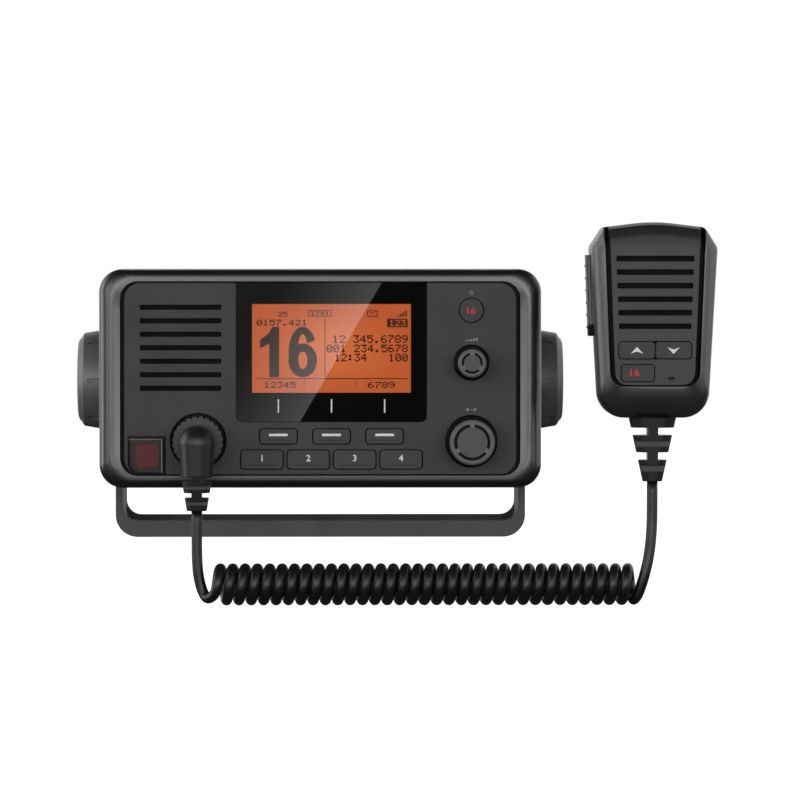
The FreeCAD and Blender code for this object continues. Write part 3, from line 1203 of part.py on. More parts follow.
def mic_screws():
    """Screws from the back of the microphone into its front half."""
    screws = []
    for x, z in mic_screw_places():
        head = drum(MIC_SCREW_HEAD_R, MIC_BACK_Y - 3, MIC_BACK_Y - 1.2, x, z)
        shank = drum(MIC_SCREW_R, CORD_Y - MIC_SCREW_REACH + EASE, MIC_BACK_Y - 3, x, z)
        slot = block(x - 1.6, x + 1.6, MIC_BACK_Y - 2.2, MIC_BACK_Y, z - 0.35, z + 0.35)
        cross = block(x - 0.35, x + 0.35, MIC_BACK_Y - 2.2, MIC_BACK_Y, z - 1.6, z + 1.6)
        screws.append(joined(head, shank).cut([slot, cross]))
    return Part.makeCompound(screws)


def mic_speaker():
    """Small loudspeaker behind the slots of the microphone."""
    z = mic_speaker_z()
    front = FACE_BACK_Y + MIC_WALL
    rim = drum(MIC_SPEAKER_R, front, front + 2, MIC_X, z)
    back = drum(MIC_SPEAKER_R * 0.6, front + 2, MIC_BOARD_FRONT, MIC_X, z)
    return joined(rim, back)


def mic_board():
    """Board across the microphone, which carries its switches."""
    z = MIC_Z + FACE_FOOT + MIC_BOARD_H / 2 - 1
    board = tile(MIC_BOARD_W, MIC_BOARD_H, KEY_R, MIC_BOARD_FRONT, MIC_BOARD_FRONT + BOARD_T, MIC_X, z)
    return board.cut([drum(MIC_SCREW_HEAD_R + 0.5 + EASE, MIC_BOARD_FRONT - 1, MIC_BOARD_FRONT + BOARD_T + 1, x, h)
                      for x, h in mic_screw_places()])


def mic_capsule():
    """Speech capsule behind its hole, on a rubber foot."""
    front = FACE_BACK_Y + MIC_WALL
    x, z = MIC_X + MIC_HOLE_X, MIC_Z + MIC_HOLE_Z
    return joined(drum(CAPSULE_R, front, front + CAPSULE_T, x, z),
                  drum(CAPSULE_R / 2, front + CAPSULE_T, MIC_BOARD_FRONT, x, z))


def mic_key(width, height, x, z):
    """Key in the microphone's face with a stem that stops short of the board."""
    front = MIC_FRONT_Y - KEY_PROUD
    behind = FACE_BACK_Y + MIC_WALL + SLIP
    cap = tile(width, height, KEY_R, front, behind, MIC_X + x, MIC_Z + z)
    flange = tile(width, height + 2 * (KEY_GAP + KEY_FLANGE), KEY_R, behind, behind + KEY_FLANGE_T, MIC_X + x,
                  MIC_Z + z)
    stem = drum(STEM_R, behind, MIC_BOARD_FRONT - KEY_TRAVEL - SLIP, MIC_X + x, MIC_Z + z)
    return joined(cap, flange, stem)


def ptt_bar():
    """Press-to-talk bar in the left side, ribbed for the finger."""
    outer = MIC_X - MIC_WIDE[2] - PTT_PROUD
    inner = MIC_X - mic_inside()
    half = PTT_L / 2 + PTT_FLANGE
    flange = block(inner, inner + KEY_FLANGE_T, CORD_Y - PTT_DEPTH / 2, CORD_Y + PTT_DEPTH / 2,
                   MIC_Z + PTT_Z - half, MIC_Z + PTT_Z + half)
    body = joined(ptt_slot(0, outer, inner), flange)
    lean = block(outer - 5, outer, CORD_Y - PTT_DEPTH, CORD_Y + PTT_DEPTH, MIC_Z + PTT_Z - PTT_L, MIC_Z + PTT_Z + PTT_L)
    lean.rotate(V(outer, 0, MIC_Z + PTT_Z + PTT_L / 2), V(0, 1, 0), -PTT_LEAN)
    ribs = []
    for index in range(PTT_RIBS):
        z = MIC_Z + PTT_Z + PTT_L / 2 - PTT_L * (index + 0.9) / (PTT_RIBS + 0.6)
        x = outer + (MIC_Z + PTT_Z + PTT_L / 2 - z) * math.tan(math.radians(PTT_LEAN))
        ribs.append(Part.makeCylinder(PTT_RIB_R, PTT_DEPTH, V(x, CORD_Y - PTT_DEPTH / 2, z), V(0, 1, 0)))
    return joined(body.cut(lean), *ribs)



def mic_hang_button():
    """Round button on the microphone's back that drops into the hanger."""
    plate = drum(BUTTON_R, BUTTON_Y, BUTTON_Y + BUTTON_T, MIC_X, BUTTON_Z)
    stem = drum(BUTTON_STEM_R, MIC_BACK_Y, BUTTON_Y, MIC_X, BUTTON_Z)
    screw = drum(BUTTON_STEM_R / 2 - FIT, MIC_BACK_Y - 5, MIC_BACK_Y, MIC_X, BUTTON_Z)
    return joined(plate, stem, screw)


def slot_from(radius, y0, y1, top):
    """Upright slot with a round foot at the hang button, open above."""
    return joined(drum(radius, y0, y1, MIC_X, BUTTON_Z),
                  block(MIC_X - radius, MIC_X + radius, y0, y1, BUTTON_Z, top))


def mic_hanger():
    """Wall hanger with a keyhole slot for the microphone's button and two screw holes."""
    half, top = HANGER_H / 2, BUTTON_Z + HANGER_H / 2
    body = tile(HANGER_W, HANGER_H, WINDOW_R, HANGER_Y, HANGER_BACK, MIC_X, BUTTON_Z)
    tab = tile(HANGER_TAB_W, HANGER_TAB_H, WINDOW_R, HANGER_BACK - HANGER_PLATE_T, HANGER_BACK, MIC_X, BUTTON_Z)
    cuts = [slot_from(BUTTON_STEM_R + EASE, HANGER_Y - 1, HANGER_POCKET + 1, top + half),
            slot_from(BUTTON_R + EASE, HANGER_POCKET, HANGER_BACK - HANGER_PLATE_T, top + half)]
    cuts += [drum(HANGER_HOLE_R, HANGER_Y, HANGER_BACK + 1, MIC_X, BUTTON_Z + side * HANGER_HOLE_DZ / 2)
             for side in (-1, 1)]
    return joined(body, tab).cut(cuts)


# ---------------------------------------------------------------- cord
def cord_lead(name, route):
    """Round cord along straight runs joined by tangent arcs, in the plane of the cord."""
    points = [V(x, CORD_Y, z) for x, z in route]
    runs = [points[index].distanceToPoint(points[index + 1]) for index in range(len(points) - 1)]
    edges, radii = [], []
    start = points[0]
    for index in range(1, len(points) - 1):
        set_back = 0.45 * min(runs[index - 1], runs[index])
        arc, radius = corner_arc(points[index - 1], points[index], points[index + 1], set_back)
        edges += [Part.LineSegment(start, arc.StartPoint).toShape(), arc.toShape()]
        start = arc.EndPoint
        radii.append(radius)
    edges.append(Part.LineSegment(start, points[-1]).toShape())
    path = Part.Wire(edges)
    section = Part.Wire(Part.makeCircle(CORD_D / 2, points[0], points[1] - points[0]))
    tube = path.makePipeShell([section], True, True)
    expected = math.pi * (CORD_D / 2) ** 2 * path.Length
    print(name, "length %.1f" % path.Length, "radii", ["%.1f" % radius for radius in radii],
          "volume / (section x length) %.4f" % (tube.Volume / expected))
    return tube


def cord_coil():
    """Room of the coiled stretch: its outer diameter over its length."""
    return rod(COIL_OD / 2, COIL_X0, COIL_X1, CORD_Y, COIL_Z)


# ---------------------------------------------------------------- the whole radio
def build():
    """All nodes by name."""
    soft, function = key_places()
    nodes = {"bracket": bracket(), "friction_washers": friction_washers(), "pivot_inserts": pivot_inserts(),
             "clamp_knob_left": clamp_knob(-1), "clamp_knob_right": clamp_knob(1),
             "front_bezel": front_bezel(), "front_panel": front_panel(), "display_window": display_window(),
             "lcd_panel": lcd_panel(), "lcd_backlight": lcd_backlight(), "speaker_driver": speaker_driver(),
             "keypad_mat": keypad_mat(), "key_board": key_board(), "rotary_switches": rotary_switches(),
             "power_key": power_key(), "distress_door": distress_door(), "distress_key": distress_key(),
             "distress_hinge_pin": distress_hinge_pin()}
    for name, x in zip(("left", "middle", "right"), soft):
        nodes["soft_key_" + name] = flat_key(SOFT_W, SOFT_H, x, BODY_Z + SOFT_Z)
    for index, x in enumerate(function):
        nodes["function_key_%d" % (index + 1)] = flat_key(FUNCTION_W, FUNCTION_H, x, BODY_Z + FUNCTION_Z)
    nodes["volume_knob"] = knob(VOLUME_BASE_R, VOLUME_R, VOLUME_H, VOLUME_RING, BODY_Z + VOLUME_Z)
    nodes["volume_shaft"] = knob_shaft(VOLUME_H, BODY_Z + VOLUME_Z)
    nodes["select_knob"] = knob(SELECT_BASE_R, SELECT_R, SELECT_H, SELECT_RING, BODY_Z + SELECT_Z)
    nodes["select_shaft"] = knob_shaft(SELECT_H, BODY_Z + SELECT_Z)
    nodes.update({"mic_socket": mic_socket(), "plug_shell": plug_shell(), "coupling_ring": coupling_ring(),
                  "plug_boot": plug_boot(), "chassis": chassis(), "case_gasket": case_gasket(),
                  "case_screws": case_screws(), "main_board": main_board(), "rf_shield": rf_shield(),
                  "board_parts": board_parts(), "ribbon_cable": ribbon_cable(), "gps_antenna": gps_antenna(),
                  "antenna_socket": antenna_socket(), "rear_inlets": rear_inlets()})
    arrow_x = (ARROW_W + ARROW_SPLIT) / 2
    nodes.update({"mic_front_shell": mic_front_shell(), "mic_rear_shell": mic_rear_shell(),
                  "mic_face": mic_face(), "mic_speaker": mic_speaker(), "mic_board": mic_board(),
                  "mic_capsule": mic_capsule(), "mic_screws": mic_screws(),
                  "mic_up_key": mic_key(ARROW_W, ARROW_H, -arrow_x, ARROW_Z),
                  "mic_down_key": mic_key(ARROW_W, ARROW_H, arrow_x, ARROW_Z),
                  "mic_channel_key": mic_key(CHANNEL_KEY_W, CHANNEL_KEY_H, CHANNEL_KEY_X, CHANNEL_KEY_Z),
                  "ptt_bar": ptt_bar(), "mic_hang_button": mic_hang_button(), "mic_hanger": mic_hanger(),
                  "mic_strain_relief": strain_relief(MIC_RELIEF, MIC_X, MIC_Z),
                  "cord_lead_radio": cord_lead("cord_lead_radio", RADIO_LEAD),
                  "cord_lead_mic": cord_lead("cord_lead_mic", MIC_LEAD), "cord_coil": cord_coil()})
    return nodes


def main():
    """Write one STEP file for each node."""
    os.makedirs("parts", exist_ok=True)
    for name, shape in build().items():
        solids = shape.Solids
        sound = all(solid.isValid() and solid.isClosed() for solid in solids)
        if not sound or not solids:
            print("check", name, "solids", len(solids))
        shape.exportStep("parts/%s.step" % name)
    print("done")


main()
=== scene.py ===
# %% [markdown]
# # A marine VHF radio with its hand microphone
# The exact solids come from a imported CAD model. They give every place and every size. Blender adds what
# the CAD leaves out: rounded edges, printed marks, the lit display, the curly cord and the finishes.
# Everything below is in the CAD model's own frame, in metres, with Z up and the front towards -Y.

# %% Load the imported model
import json
import math

import bmesh
import bpy
import numpy as np
from mathutils import Matrix, Vector
from mathutils.bvhtree import BVHTree

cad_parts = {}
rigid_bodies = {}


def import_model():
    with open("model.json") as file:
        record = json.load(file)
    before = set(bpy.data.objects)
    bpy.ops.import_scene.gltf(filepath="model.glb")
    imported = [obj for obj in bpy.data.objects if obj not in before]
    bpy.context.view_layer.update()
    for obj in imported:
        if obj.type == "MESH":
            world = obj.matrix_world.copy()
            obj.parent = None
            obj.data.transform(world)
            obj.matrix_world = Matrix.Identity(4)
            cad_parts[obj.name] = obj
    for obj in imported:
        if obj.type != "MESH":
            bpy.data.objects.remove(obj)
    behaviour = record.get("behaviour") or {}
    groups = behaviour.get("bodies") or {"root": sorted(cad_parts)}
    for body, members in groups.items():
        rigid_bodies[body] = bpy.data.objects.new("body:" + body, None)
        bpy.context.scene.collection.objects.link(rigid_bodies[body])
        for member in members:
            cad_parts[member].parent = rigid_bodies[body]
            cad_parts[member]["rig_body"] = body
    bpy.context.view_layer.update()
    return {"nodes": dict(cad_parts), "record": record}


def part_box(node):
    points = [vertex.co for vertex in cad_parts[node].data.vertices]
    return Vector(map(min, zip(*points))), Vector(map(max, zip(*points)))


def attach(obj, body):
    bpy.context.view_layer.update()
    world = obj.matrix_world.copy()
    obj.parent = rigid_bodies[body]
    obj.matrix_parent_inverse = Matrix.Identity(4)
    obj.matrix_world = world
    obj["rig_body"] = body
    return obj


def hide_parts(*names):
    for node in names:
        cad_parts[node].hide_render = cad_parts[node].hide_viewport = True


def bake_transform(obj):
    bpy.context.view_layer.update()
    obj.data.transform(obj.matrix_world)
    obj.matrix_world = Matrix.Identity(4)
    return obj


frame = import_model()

# %% [markdown]
# The CAD source is written in millimetres, so a maker thinks in millimetres too. One constant turns them
# into Blender's metres. A finished piece keeps its place in its mesh and its object stays at the origin, so
# that a pattern in object coordinates means the same on every piece.

# %% Millimetres, and a finished piece
MM = 0.001


def at(x, y, z):
    """Point of the frame, given in millimetres."""
    return Vector((x, y, z)) * MM


def extent(piece):
    """Lowest and highest corner of a piece, in millimetres."""
    return [round(c / MM, 2) for c in (*piece.bound_box[0], *piece.bound_box[6])]


def placed(name, data):
    """New object of the scene with this data."""
    made = bpy.data.objects.new(name, data)
    bpy.context.scene.collection.objects.link(made)
    return made


def finished(name, mesh, finish, body=None):
    """Puts a mesh in the scene as a piece with one finish, riding on a body."""
    piece = placed(name, mesh)
    if finish is not None:
        mesh.materials.clear()
        mesh.materials.append(finish)
    if body:
        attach(piece, body)
    return piece


print("one metre is", round(1 / MM), "millimetres")

# %% [markdown]
# ## Where the camera stands
# A small product is shown best from far away with a long lens, so that near and far parts keep almost the
# same size. A wide lens close by would bulge the housing. The camera stands two metres in front, a little
# above the middle, and looks slightly down.

# %% Camera
EYE = Vector((0.0022, -2.066, 0.1168))
LOOK_AT = Vector((0.0306, -0.066, 0.0550))
FOCAL_LENGTH, SENSOR_WIDTH = 234.5, 36.0
lens = bpy.data.cameras.new("camera")
lens.lens, lens.sensor_width = FOCAL_LENGTH, SENSOR_WIDTH
lens.clip_start, lens.clip_end = 0.1, 50
camera = placed("camera", lens)
camera.location = EYE
camera.rotation_euler = (LOOK_AT - EYE).to_track_quat("-Z", "Y").to_euler()
bpy.context.scene.camera = camera
print("camera distance", round((LOOK_AT - EYE).length, 3), "m")

# %% [markdown]
# ## The curly cord
# The cord is one round rubber cable: straight out of the plug, wound into a tight helix, and straight up to
# the microphone. It could be a tube modelled by hand, but a smooth curve through a few chosen points bends
# as a real cable does. The helix is only more points of the same curve, sixteen for each turn.
# A NURBS curve of order 3 runs a little inside its points, so the helix points stand a little further out.

# %% The points of the cord
CORD_Y = -88.0
COIL_Z = -14.4
COIL_MEAN_R = 6.0
TURNS, TURN_POINTS, FIRST_POINT = 34, 16, 3
FIRST_FOOT_X, TURN_PITCH = -40.35, 4.694
radio_lead = [(-46.9, CORD_Y, 13.6), (-46.9, CORD_Y, 5.4), (-46.9, CORD_Y, -3.2), (-46.5, CORD_Y, -10.4),
              (-45.1, CORD_Y, -16.4), (-43.2, -89.4, -19.9), (-41.0, -92.4, -18.9)]
mic_lead = [(120.7, -89.6, -18.6), (123.1, -90.6, -11.4), (125.1, -90.0, -2.6), (126.1, CORD_Y, 6.8),
            (126.2, CORD_Y, 15.8), (126.2, CORD_Y, 24.8)]


def coil_points():
    """Points round the coil's axis, from the first turn's front to the last turn's foot."""
    reach = COIL_MEAN_R / (0.75 + 0.25 * math.cos(2 * math.pi / TURN_POINTS))
    points = []
    for index in range(FIRST_POINT, TURNS * TURN_POINTS + 1):
        turn = index / TURN_POINTS
        angle = 2 * math.pi * turn
        points.append((FIRST_FOOT_X + TURN_PITCH * turn, CORD_Y - reach * math.sin(angle),
                       COIL_Z - reach * math.cos(angle)))
    return points


print("points of the coil", len(coil_points()))

# %% [markdown]
# The curve does the smoothing, and a plain row of points is read back from it. Everything that follows the
# cord, its tube and its printed length, uses that one row, so that they can't disagree.

# %% The line of the cord
SPLINE_STEPS = 4
SAME_POINT = 1e-6


def smooth_line(points, steps):
    """Points read from an open NURBS curve of order 3 with these control points, in millimetres."""
    curve = bpy.data.curves.new("route", "CURVE")
    curve.dimensions = "3D"
    spline = curve.splines.new("NURBS")
    spline.points.add(len(points) - 1)
    for knot, place in zip(spline.points, points):
        knot.co = (*at(*place), 1)
    spline.order_u = 3
    spline.use_endpoint_u = True
    spline.resolution_u = steps
    carrier = bpy.data.objects.new("route", curve)
    mesh = bpy.data.meshes.new_from_object(carrier)
    read = [vertex.co.copy() for vertex in mesh.vertices]
    line = [read[0]] + [b for a, b in zip(read, read[1:]) if (b - a).length > SAME_POINT]
    bpy.data.objects.remove(carrier)
    bpy.data.meshes.remove(mesh)
    return line


def line_length(line):
    """Length along a row of points."""
    return sum((b - a).length for a, b in zip(line, line[1:]))


cord_line = smooth_line(radio_lead + coil_points() + mic_lead, SPLINE_STEPS)
print("cord points", len(cord_line), "length", round(line_length(cord_line), 3), "m")

# %% [markdown]
# The tube around that line is made in mesh code. A frame is carried along the line from point to point, so
# that the tube doesn't twist, and a ring of vertices is set in it at each step. Each half of the cord ends on
# a body that moves: the plug tilts with the radio and the other end lifts with the microphone. So the cord
# is two pieces that meet in the middle of the coil.

# %% Tubes along the line
CORD_D = 4.1
CORD_SIDES = 18
COIL_MIDDLE_X = 39.5


def mesh_of(work, name):
    """Plain mesh of an edited one, which is freed."""
    mesh = bpy.data.meshes.new(name)
    work.to_mesh(mesh)
    work.free()
    return mesh


def rings_along(work, line, radius, sides):
    """Ring of vertices at each point of a line, turned as little as the line's bends allow."""
    side = Vector((0, 1, 0))
    rings = []
    for index, point in enumerate(line):
        ahead = (line[min(index + 1, len(line) - 1)] - line[max(index - 1, 0)]).normalized()
        side = (side - ahead * side.dot(ahead)).normalized()
        up = ahead.cross(side)
        rings.append([work.verts.new(point + radius * (side * math.cos(a) + up * math.sin(a)))
                      for a in (2 * math.pi * k / sides for k in range(sides))])
    return rings


def tube(line, radius, sides):
    """Closed round tube along a row of points, with its length along U."""
    work = bmesh.new()
    layer = work.loops.layers.uv.new("UVMap")
    rings = rings_along(work, line, radius, sides)
    run = 0.0
    for index in range(len(rings) - 1):
        next_run = run + (line[index + 1] - line[index]).length
        for k in range(sides):
            other = (k + 1) % sides
            face = work.faces.new((rings[index][k], rings[index + 1][k], rings[index + 1][other],
                                   rings[index][other]))
            face.smooth = True
            along = (run, next_run, next_run, run)
            across = (k / sides, k / sides, (k + 1) / sides, (k + 1) / sides)
            for loop, u, v in zip(face.loops, along, across):
                loop[layer].uv = (u, v)
        run = next_run
    work.faces.new(rings[0])
    work.faces.new(reversed(rings[-1]))
    bmesh.ops.recalc_face_normals(work, faces=work.faces)
    return mesh_of(work, "tube")


half = min(range(len(cord_line)), key=lambda index: abs(cord_line[index].x - COIL_MIDDLE_X * MM))
plug_half, mic_half = cord_line[:half + 1], cord_line[half:]
print("halves", round(line_length(plug_half), 3), round(line_length(mic_half), 3))

# %% [markdown]
# ## Finishes
# Nearly everything here is black, and black things differ by how they shine. Shaders work in linear light,
# where a dark grey is a very small number that tells a reader little. So colours are given as they look on a
# screen, from 0 to 255, and two functions turn them into light.

# %% Colours of the screen


def linear(level):
    """Linear value of an 8-bit screen level."""
    share = level / 255
    return share / 12.92 if share <= 0.04045 else ((share + 0.055) / 1.055) ** 2.4


def shade(red, green, blue):
    """Linear colour of an 8-bit screen colour."""
    return (linear(red), linear(green), linear(blue), 1)


print("a level of 45 on the screen is", round(linear(45), 4), "of white")

# %% [markdown]
# Each finish is a small tree of shader nodes. Writing every link out would hide what matters, so a few
# helpers add a node, set or link its inputs by name, do a sum, and start an empty material. Every finish is
# kept under its name, because most are found by that name later.

# %% Helpers for shader nodes
finishes = {}


def add(tree, kind, **settings):
    """New shader node with its settings."""
    node = tree.nodes.new("ShaderNode" + kind)
    for key, value in settings.items():
        setattr(node, key, value)
    return node


def plug(tree, socket, value):
    """Links a socket to another one or gives it a value."""
    if isinstance(value, bpy.types.NodeSocket):
        tree.links.new(value, socket)
    else:
        socket.default_value = value


def feed(tree, node, **links):
    """Sets or links a node's inputs by name, with spaces written as underscores."""
    for key, value in links.items():
        plug(tree, node.inputs[key.replace("_", " ")], value)
    return node


def in_order(tree, node, *values):
    """Sets or links a node's first inputs and returns its first output."""
    for socket, value in zip(node.inputs, values):
        plug(tree, socket, value)
    return node.outputs[0]


def reckon(tree, operation, *values):
    """Result of one Math node."""
    return in_order(tree, add(tree, "Math", operation=operation), *values)


def mixed(tree, share, first, second):
    """Shader between two others."""
    return in_order(tree, add(tree, "MixShader"), share, first, second)


def blank(name):
    """Empty node material with its surface shader, kept in the list of finishes."""
    finish = bpy.data.materials.new(name)
    finishes[name] = finish
    finish.use_nodes = True
    tree = finish.node_tree
    tree.nodes.clear()
    skin = add(tree, "BsdfPrincipled")
    end = add(tree, "OutputMaterial")
    tree.links.new(skin.outputs[0], end.inputs["Surface"])
    return finish, tree, skin


print("finishes so far", len(finishes))

# %% [markdown]
# No moulded, cast or painted face is one flat colour. The colour drifts slightly over a centimetre or so, the
# roughness drifts with the grain, and the grain itself is a fine bump. The patterns read object coordinates
# in metres, so a grain of half a millimetre is the same on every piece. Most finishes share one build.

# %% An opaque finish
ROUGH_DRIFT = 0.05


def speckle(tree, size, detail=2.0, rough=0.5):
    """Noise whose blotches are about this many millimetres across."""
    place = add(tree, "TexCoord")
    noise = add(tree, "TexNoise")
    feed(tree, noise, Vector=place.outputs["Object"], Scale=1 / (size * MM), Detail=detail, Roughness=rough)
    return noise.outputs["Fac"]


def spread(tree, source, low, high, start=0.3, stop=0.7):
    """Maps a noise onto a range of values."""
    ramp = add(tree, "MapRange")
    feed(tree, ramp, Value=source, From_Min=start, From_Max=stop, To_Min=low, To_Max=high)
    return ramp.outputs["Result"]


def spread_colour(tree, source, low, high, start=0.3, stop=0.7):
    """Maps a noise onto the colours between two."""
    mix = add(tree, "Mix", data_type="RGBA")
    tree.links.new(spread(tree, source, 0, 1, start, stop), mix.inputs["Factor"])
    ends = [socket for socket in mix.inputs if socket.type == "RGBA"]
    ends[0].default_value, ends[1].default_value = low, high
    return next(socket for socket in mix.outputs if socket.type == "RGBA")


def moulded(tree, skin, tint, rough, grain=0.4, height=0.02, metal=0.0, level=0.5, coat=0.0, **more):
    """Gives a surface its tint, a drifting roughness and a fine bump; grain and height in millimetres."""
    fine = speckle(tree, grain, 3.0, 0.6)
    bump = add(tree, "Bump")
    feed(tree, bump, Height=fine, Strength=1.0, Distance=height * MM)
    feed(tree, skin, Base_Color=tint, Roughness=spread(tree, fine, rough - ROUGH_DRIFT, rough + ROUGH_DRIFT),
         Normal=bump.outputs["Normal"], Metallic=metal, IOR=1.5, Specular_IOR_Level=level, Coat_Weight=coat,
         Coat_Roughness=0.25, **more)


def opaque(name, colour, other, rough, cloud=14.0, **more):
    """Finish whose colour drifts between two, in clouds of this many millimetres."""
    finish, tree, skin = blank(name)
    moulded(tree, skin, spread_colour(tree, speckle(tree, cloud, 3.0), colour, other), rough, **more)
    return finish


def grey(name, pale, dark, rough, cool=1, **more):
    """Finish that drifts between two grey levels of the screen with a trace of blue."""
    return opaque(name, *(shade(value, value, value + cool) for value in (pale, dark)), rough, **more)


print("roughness drifts by", ROUGH_DRIFT, "to each side")

# %% [markdown]
# The housing is glossy moulded plastic; the panel and the microphone's face are the same with a matt grain.
# The bracket is powder-coated, which leaves a slight orange-peel. The chassis is die-cast and painted. The
# knobs and clamps have a satin face that catches more light. None of them is pure black, because then even
# a bright lamp would not show their form.

# %% Moulded and painted blacks
bezel_black = grey("bezel_black", 17, 13, 0.36, grain=0.35, height=0.004, level=0.6, coat=0.8)
panel_black = grey("panel_black", 70, 66, 0.5, grain=0.25, height=0.006, level=0.15)
face_black = grey("face_black", 40, 37, 0.45, grain=0.25, height=0.006, level=0.45)
# Painted shade: the socket's deep well round the plug gets this near-black finish.
well_shade_black = grey("well_shade_black", 12, 8, 0.6, cool=0, grain=0.3, height=0.006, level=0.15)
powder_black = grey("powder_black", 82, 75, 0.5, grain=0.7, height=0.02, level=0.25)
chassis_black = grey("chassis_black", 42, 35, 0.55, grain=0.5, height=0.03)
knob_black = grey("knob_black", 98, 94, 0.45, grain=0.3, height=0.006, level=0.3)
cap_black = grey("cap_black", 88, 85, 0.5, grain=0.3, height=0.004, level=0.2)
clamp_black = grey("clamp_black", 98, 92, 0.45, grain=0.4, height=0.008, level=1.0)
# The near-black finish below is painted shade on the key walls, the knobs' rings and sides, the microphone's
# channel and key openings and the red cover's margin; it also darkens the foot and two strips of the
# press-to-talk bar.
near_black = grey("near_black", 15, 11, 0.5, grain=0.3, height=0.006, level=0.08)
# Painted glint: this paler grey lies on the knobs' bridges.
bridge_glint_grey = grey("bridge_glint_grey", 112, 104, 0.4, grain=0.3, height=0.006, level=0.3)
bar_grey = grey("bar_grey", 118, 112, 0.5, grain=0.3, height=0.006, level=0.3)
print("greys and blacks so far", len(finishes))

# %% [markdown]
# Rubber shines in a broad, weak way. The keys are a pale, dry silicone rubber; the boots and the cord are a
# darker, oilier one. A little sheen at grazing angles sets both apart from hard plastic.

# %% Rubbers and cloth
key_rubber = grey("key_rubber", 72, 68, 0.6, grain=0.3, height=0.008, level=0.2, Sheen_Weight=0.1,
                  Sheen_Roughness=0.5)
soft_rubber = grey("soft_rubber", 20, 16, 0.38, grain=0.3, height=0.006, level=0.5, Sheen_Weight=0.05,
                   Sheen_Roughness=0.5)
cord_rubber = grey("cord_rubber", 16, 13, 0.36, cool=0, grain=0.25, height=0.005, level=0.5,
                   Sheen_Weight=0.05, Sheen_Roughness=0.4)
cloth_black = grey("cloth_black", 23, 15, 0.95, grain=0.3, height=0.05, level=0.1)
print("rubbers", key_rubber.name, soft_rubber.name, cord_rubber.name)

# %% [markdown]
# The microphone's case is dark in front. Its upper sides are painted paler, a painted highlight for the broad
# sheen they show. Two materials would show a seam there, so one finish does both. A mask rises smoothly
# from the front to the sides and from the waist upwards, and the colour and the coat of lacquer follow it.

# %% Painted sheen on the microphone's sides
MIC_X = 126.2
PAINTED_SHEEN_SIDE, PAINTED_SHEEN_RISE = (12.0, 18.5), (52.0, 68.0)


def rise_between(tree, source, low, high):
    """0 up to the first of two places in millimetres and 1 from the second on, smooth between them."""
    ramp = add(tree, "MapRange", interpolation_type="SMOOTHSTEP")
    feed(tree, ramp, Value=source, From_Min=low * MM, From_Max=high * MM)
    return ramp.outputs["Result"]


def satin_mask(tree):
    """Share of painted highlight: 1 on the case's upper sides, 0 on its front and its foot."""
    place = feed(tree, add(tree, "SeparateXYZ"), Vector=add(tree, "TexCoord").outputs["Object"])
    aside = reckon(tree, "ABSOLUTE", reckon(tree, "SUBTRACT", place.outputs["X"], MIC_X * MM))
    return reckon(tree, "MULTIPLY", rise_between(tree, aside, *PAINTED_SHEEN_SIDE),
                  rise_between(tree, place.outputs["Z"], *PAINTED_SHEEN_RISE))


# Painted highlight: the upper sides get a paler colour and a thinner coat, following the mask.
case_black, case_tree, case_skin = blank("case_black")
painted_sheen = satin_mask(case_tree)
moulded(case_tree, case_skin, spread_colour(case_tree, painted_sheen, shade(25, 25, 26), shade(74, 74, 75)), 0.4,
        grain=0.35, height=0.004, level=0.7, coat=spread(case_tree, painted_sheen, 0.5, 0.25))
print("nodes in the case's finish", len(case_tree.nodes))

# %% [markdown]
# ## Finishes that are not black
# Metals reflect their surroundings, so their colour is in the reflection and a fine brushed or plated bump
# keeps it from looking like a mirror. The boards, the washers and the paper cone are seen only from behind
# or through a gap, but they are in the model, so they get a finish of their own too. Each finish bears the
# name of its slot in the record, and most are found by that name further down.

# %% Metals, boards and small parts
steel = opaque("steel", (0.55, 0.55, 0.54, 1), (0.47, 0.47, 0.46, 1), 0.32, grain=0.12, height=0.004,
               metal=1.0)
nickel = opaque("nickel", (0.62, 0.59, 0.53, 1), (0.55, 0.52, 0.46, 1), 0.28, grain=0.15, height=0.003,
                metal=1.0)
blued_steel = opaque("blued_steel", (0.03, 0.03, 0.035, 1), (0.02, 0.02, 0.024, 1), 0.4, grain=0.12,
                     height=0.004, metal=1.0)
washer_nylon = opaque("washer_nylon", (0.55, 0.53, 0.47, 1), (0.5, 0.48, 0.42, 1), 0.55, grain=0.5,
                      height=0.01)
opaque("brass", (0.72, 0.5, 0.2, 1), (0.6, 0.4, 0.15, 1), 0.35, grain=0.15, height=0.004, metal=1.0)
opaque("board", (0.012, 0.11, 0.045, 1), (0.01, 0.085, 0.035, 1), 0.35, grain=0.9, height=0.01, cloud=5.0)
opaque("component", (0.03, 0.03, 0.032, 1), (0.09, 0.09, 0.095, 1), 0.5, grain=0.3, height=0.01, cloud=6.0)
opaque("ceramic", (0.62, 0.56, 0.47, 1), (0.55, 0.5, 0.42, 1), 0.6, grain=0.4, height=0.01)
opaque("flat_cable", (0.36, 0.2, 0.07, 1), (0.3, 0.16, 0.05, 1), 0.4, grain=0.6, height=0.004)
opaque("speaker_paper", (0.016, 0.016, 0.017, 1), (0.011, 0.011, 0.012, 1), 0.9, grain=0.5, height=0.05)
opaque("light_guide", (0.7, 0.68, 0.62, 1), (0.62, 0.6, 0.55, 1), 0.3, grain=0.5, height=0.004)
print("metals", steel.name, nickel.name, blued_steel.name)

# %% [markdown]
# The printed marks are thin films of ink. Ink isn't perfectly flat or even, so it gets a little drift too.
# The red digits and the lit display are the only colours on the front.

# %% Inks
white_ink = grey("white_ink", 240, 225, 0.6, cool=0, grain=0.2, height=0.003)
grey_ink = grey("grey_ink", 150, 135, 0.6, cool=2, grain=0.2, height=0.003)
red_ink = opaque("red_ink", shade(206, 48, 66), shade(190, 42, 58), 0.6, grain=0.2, height=0.003)
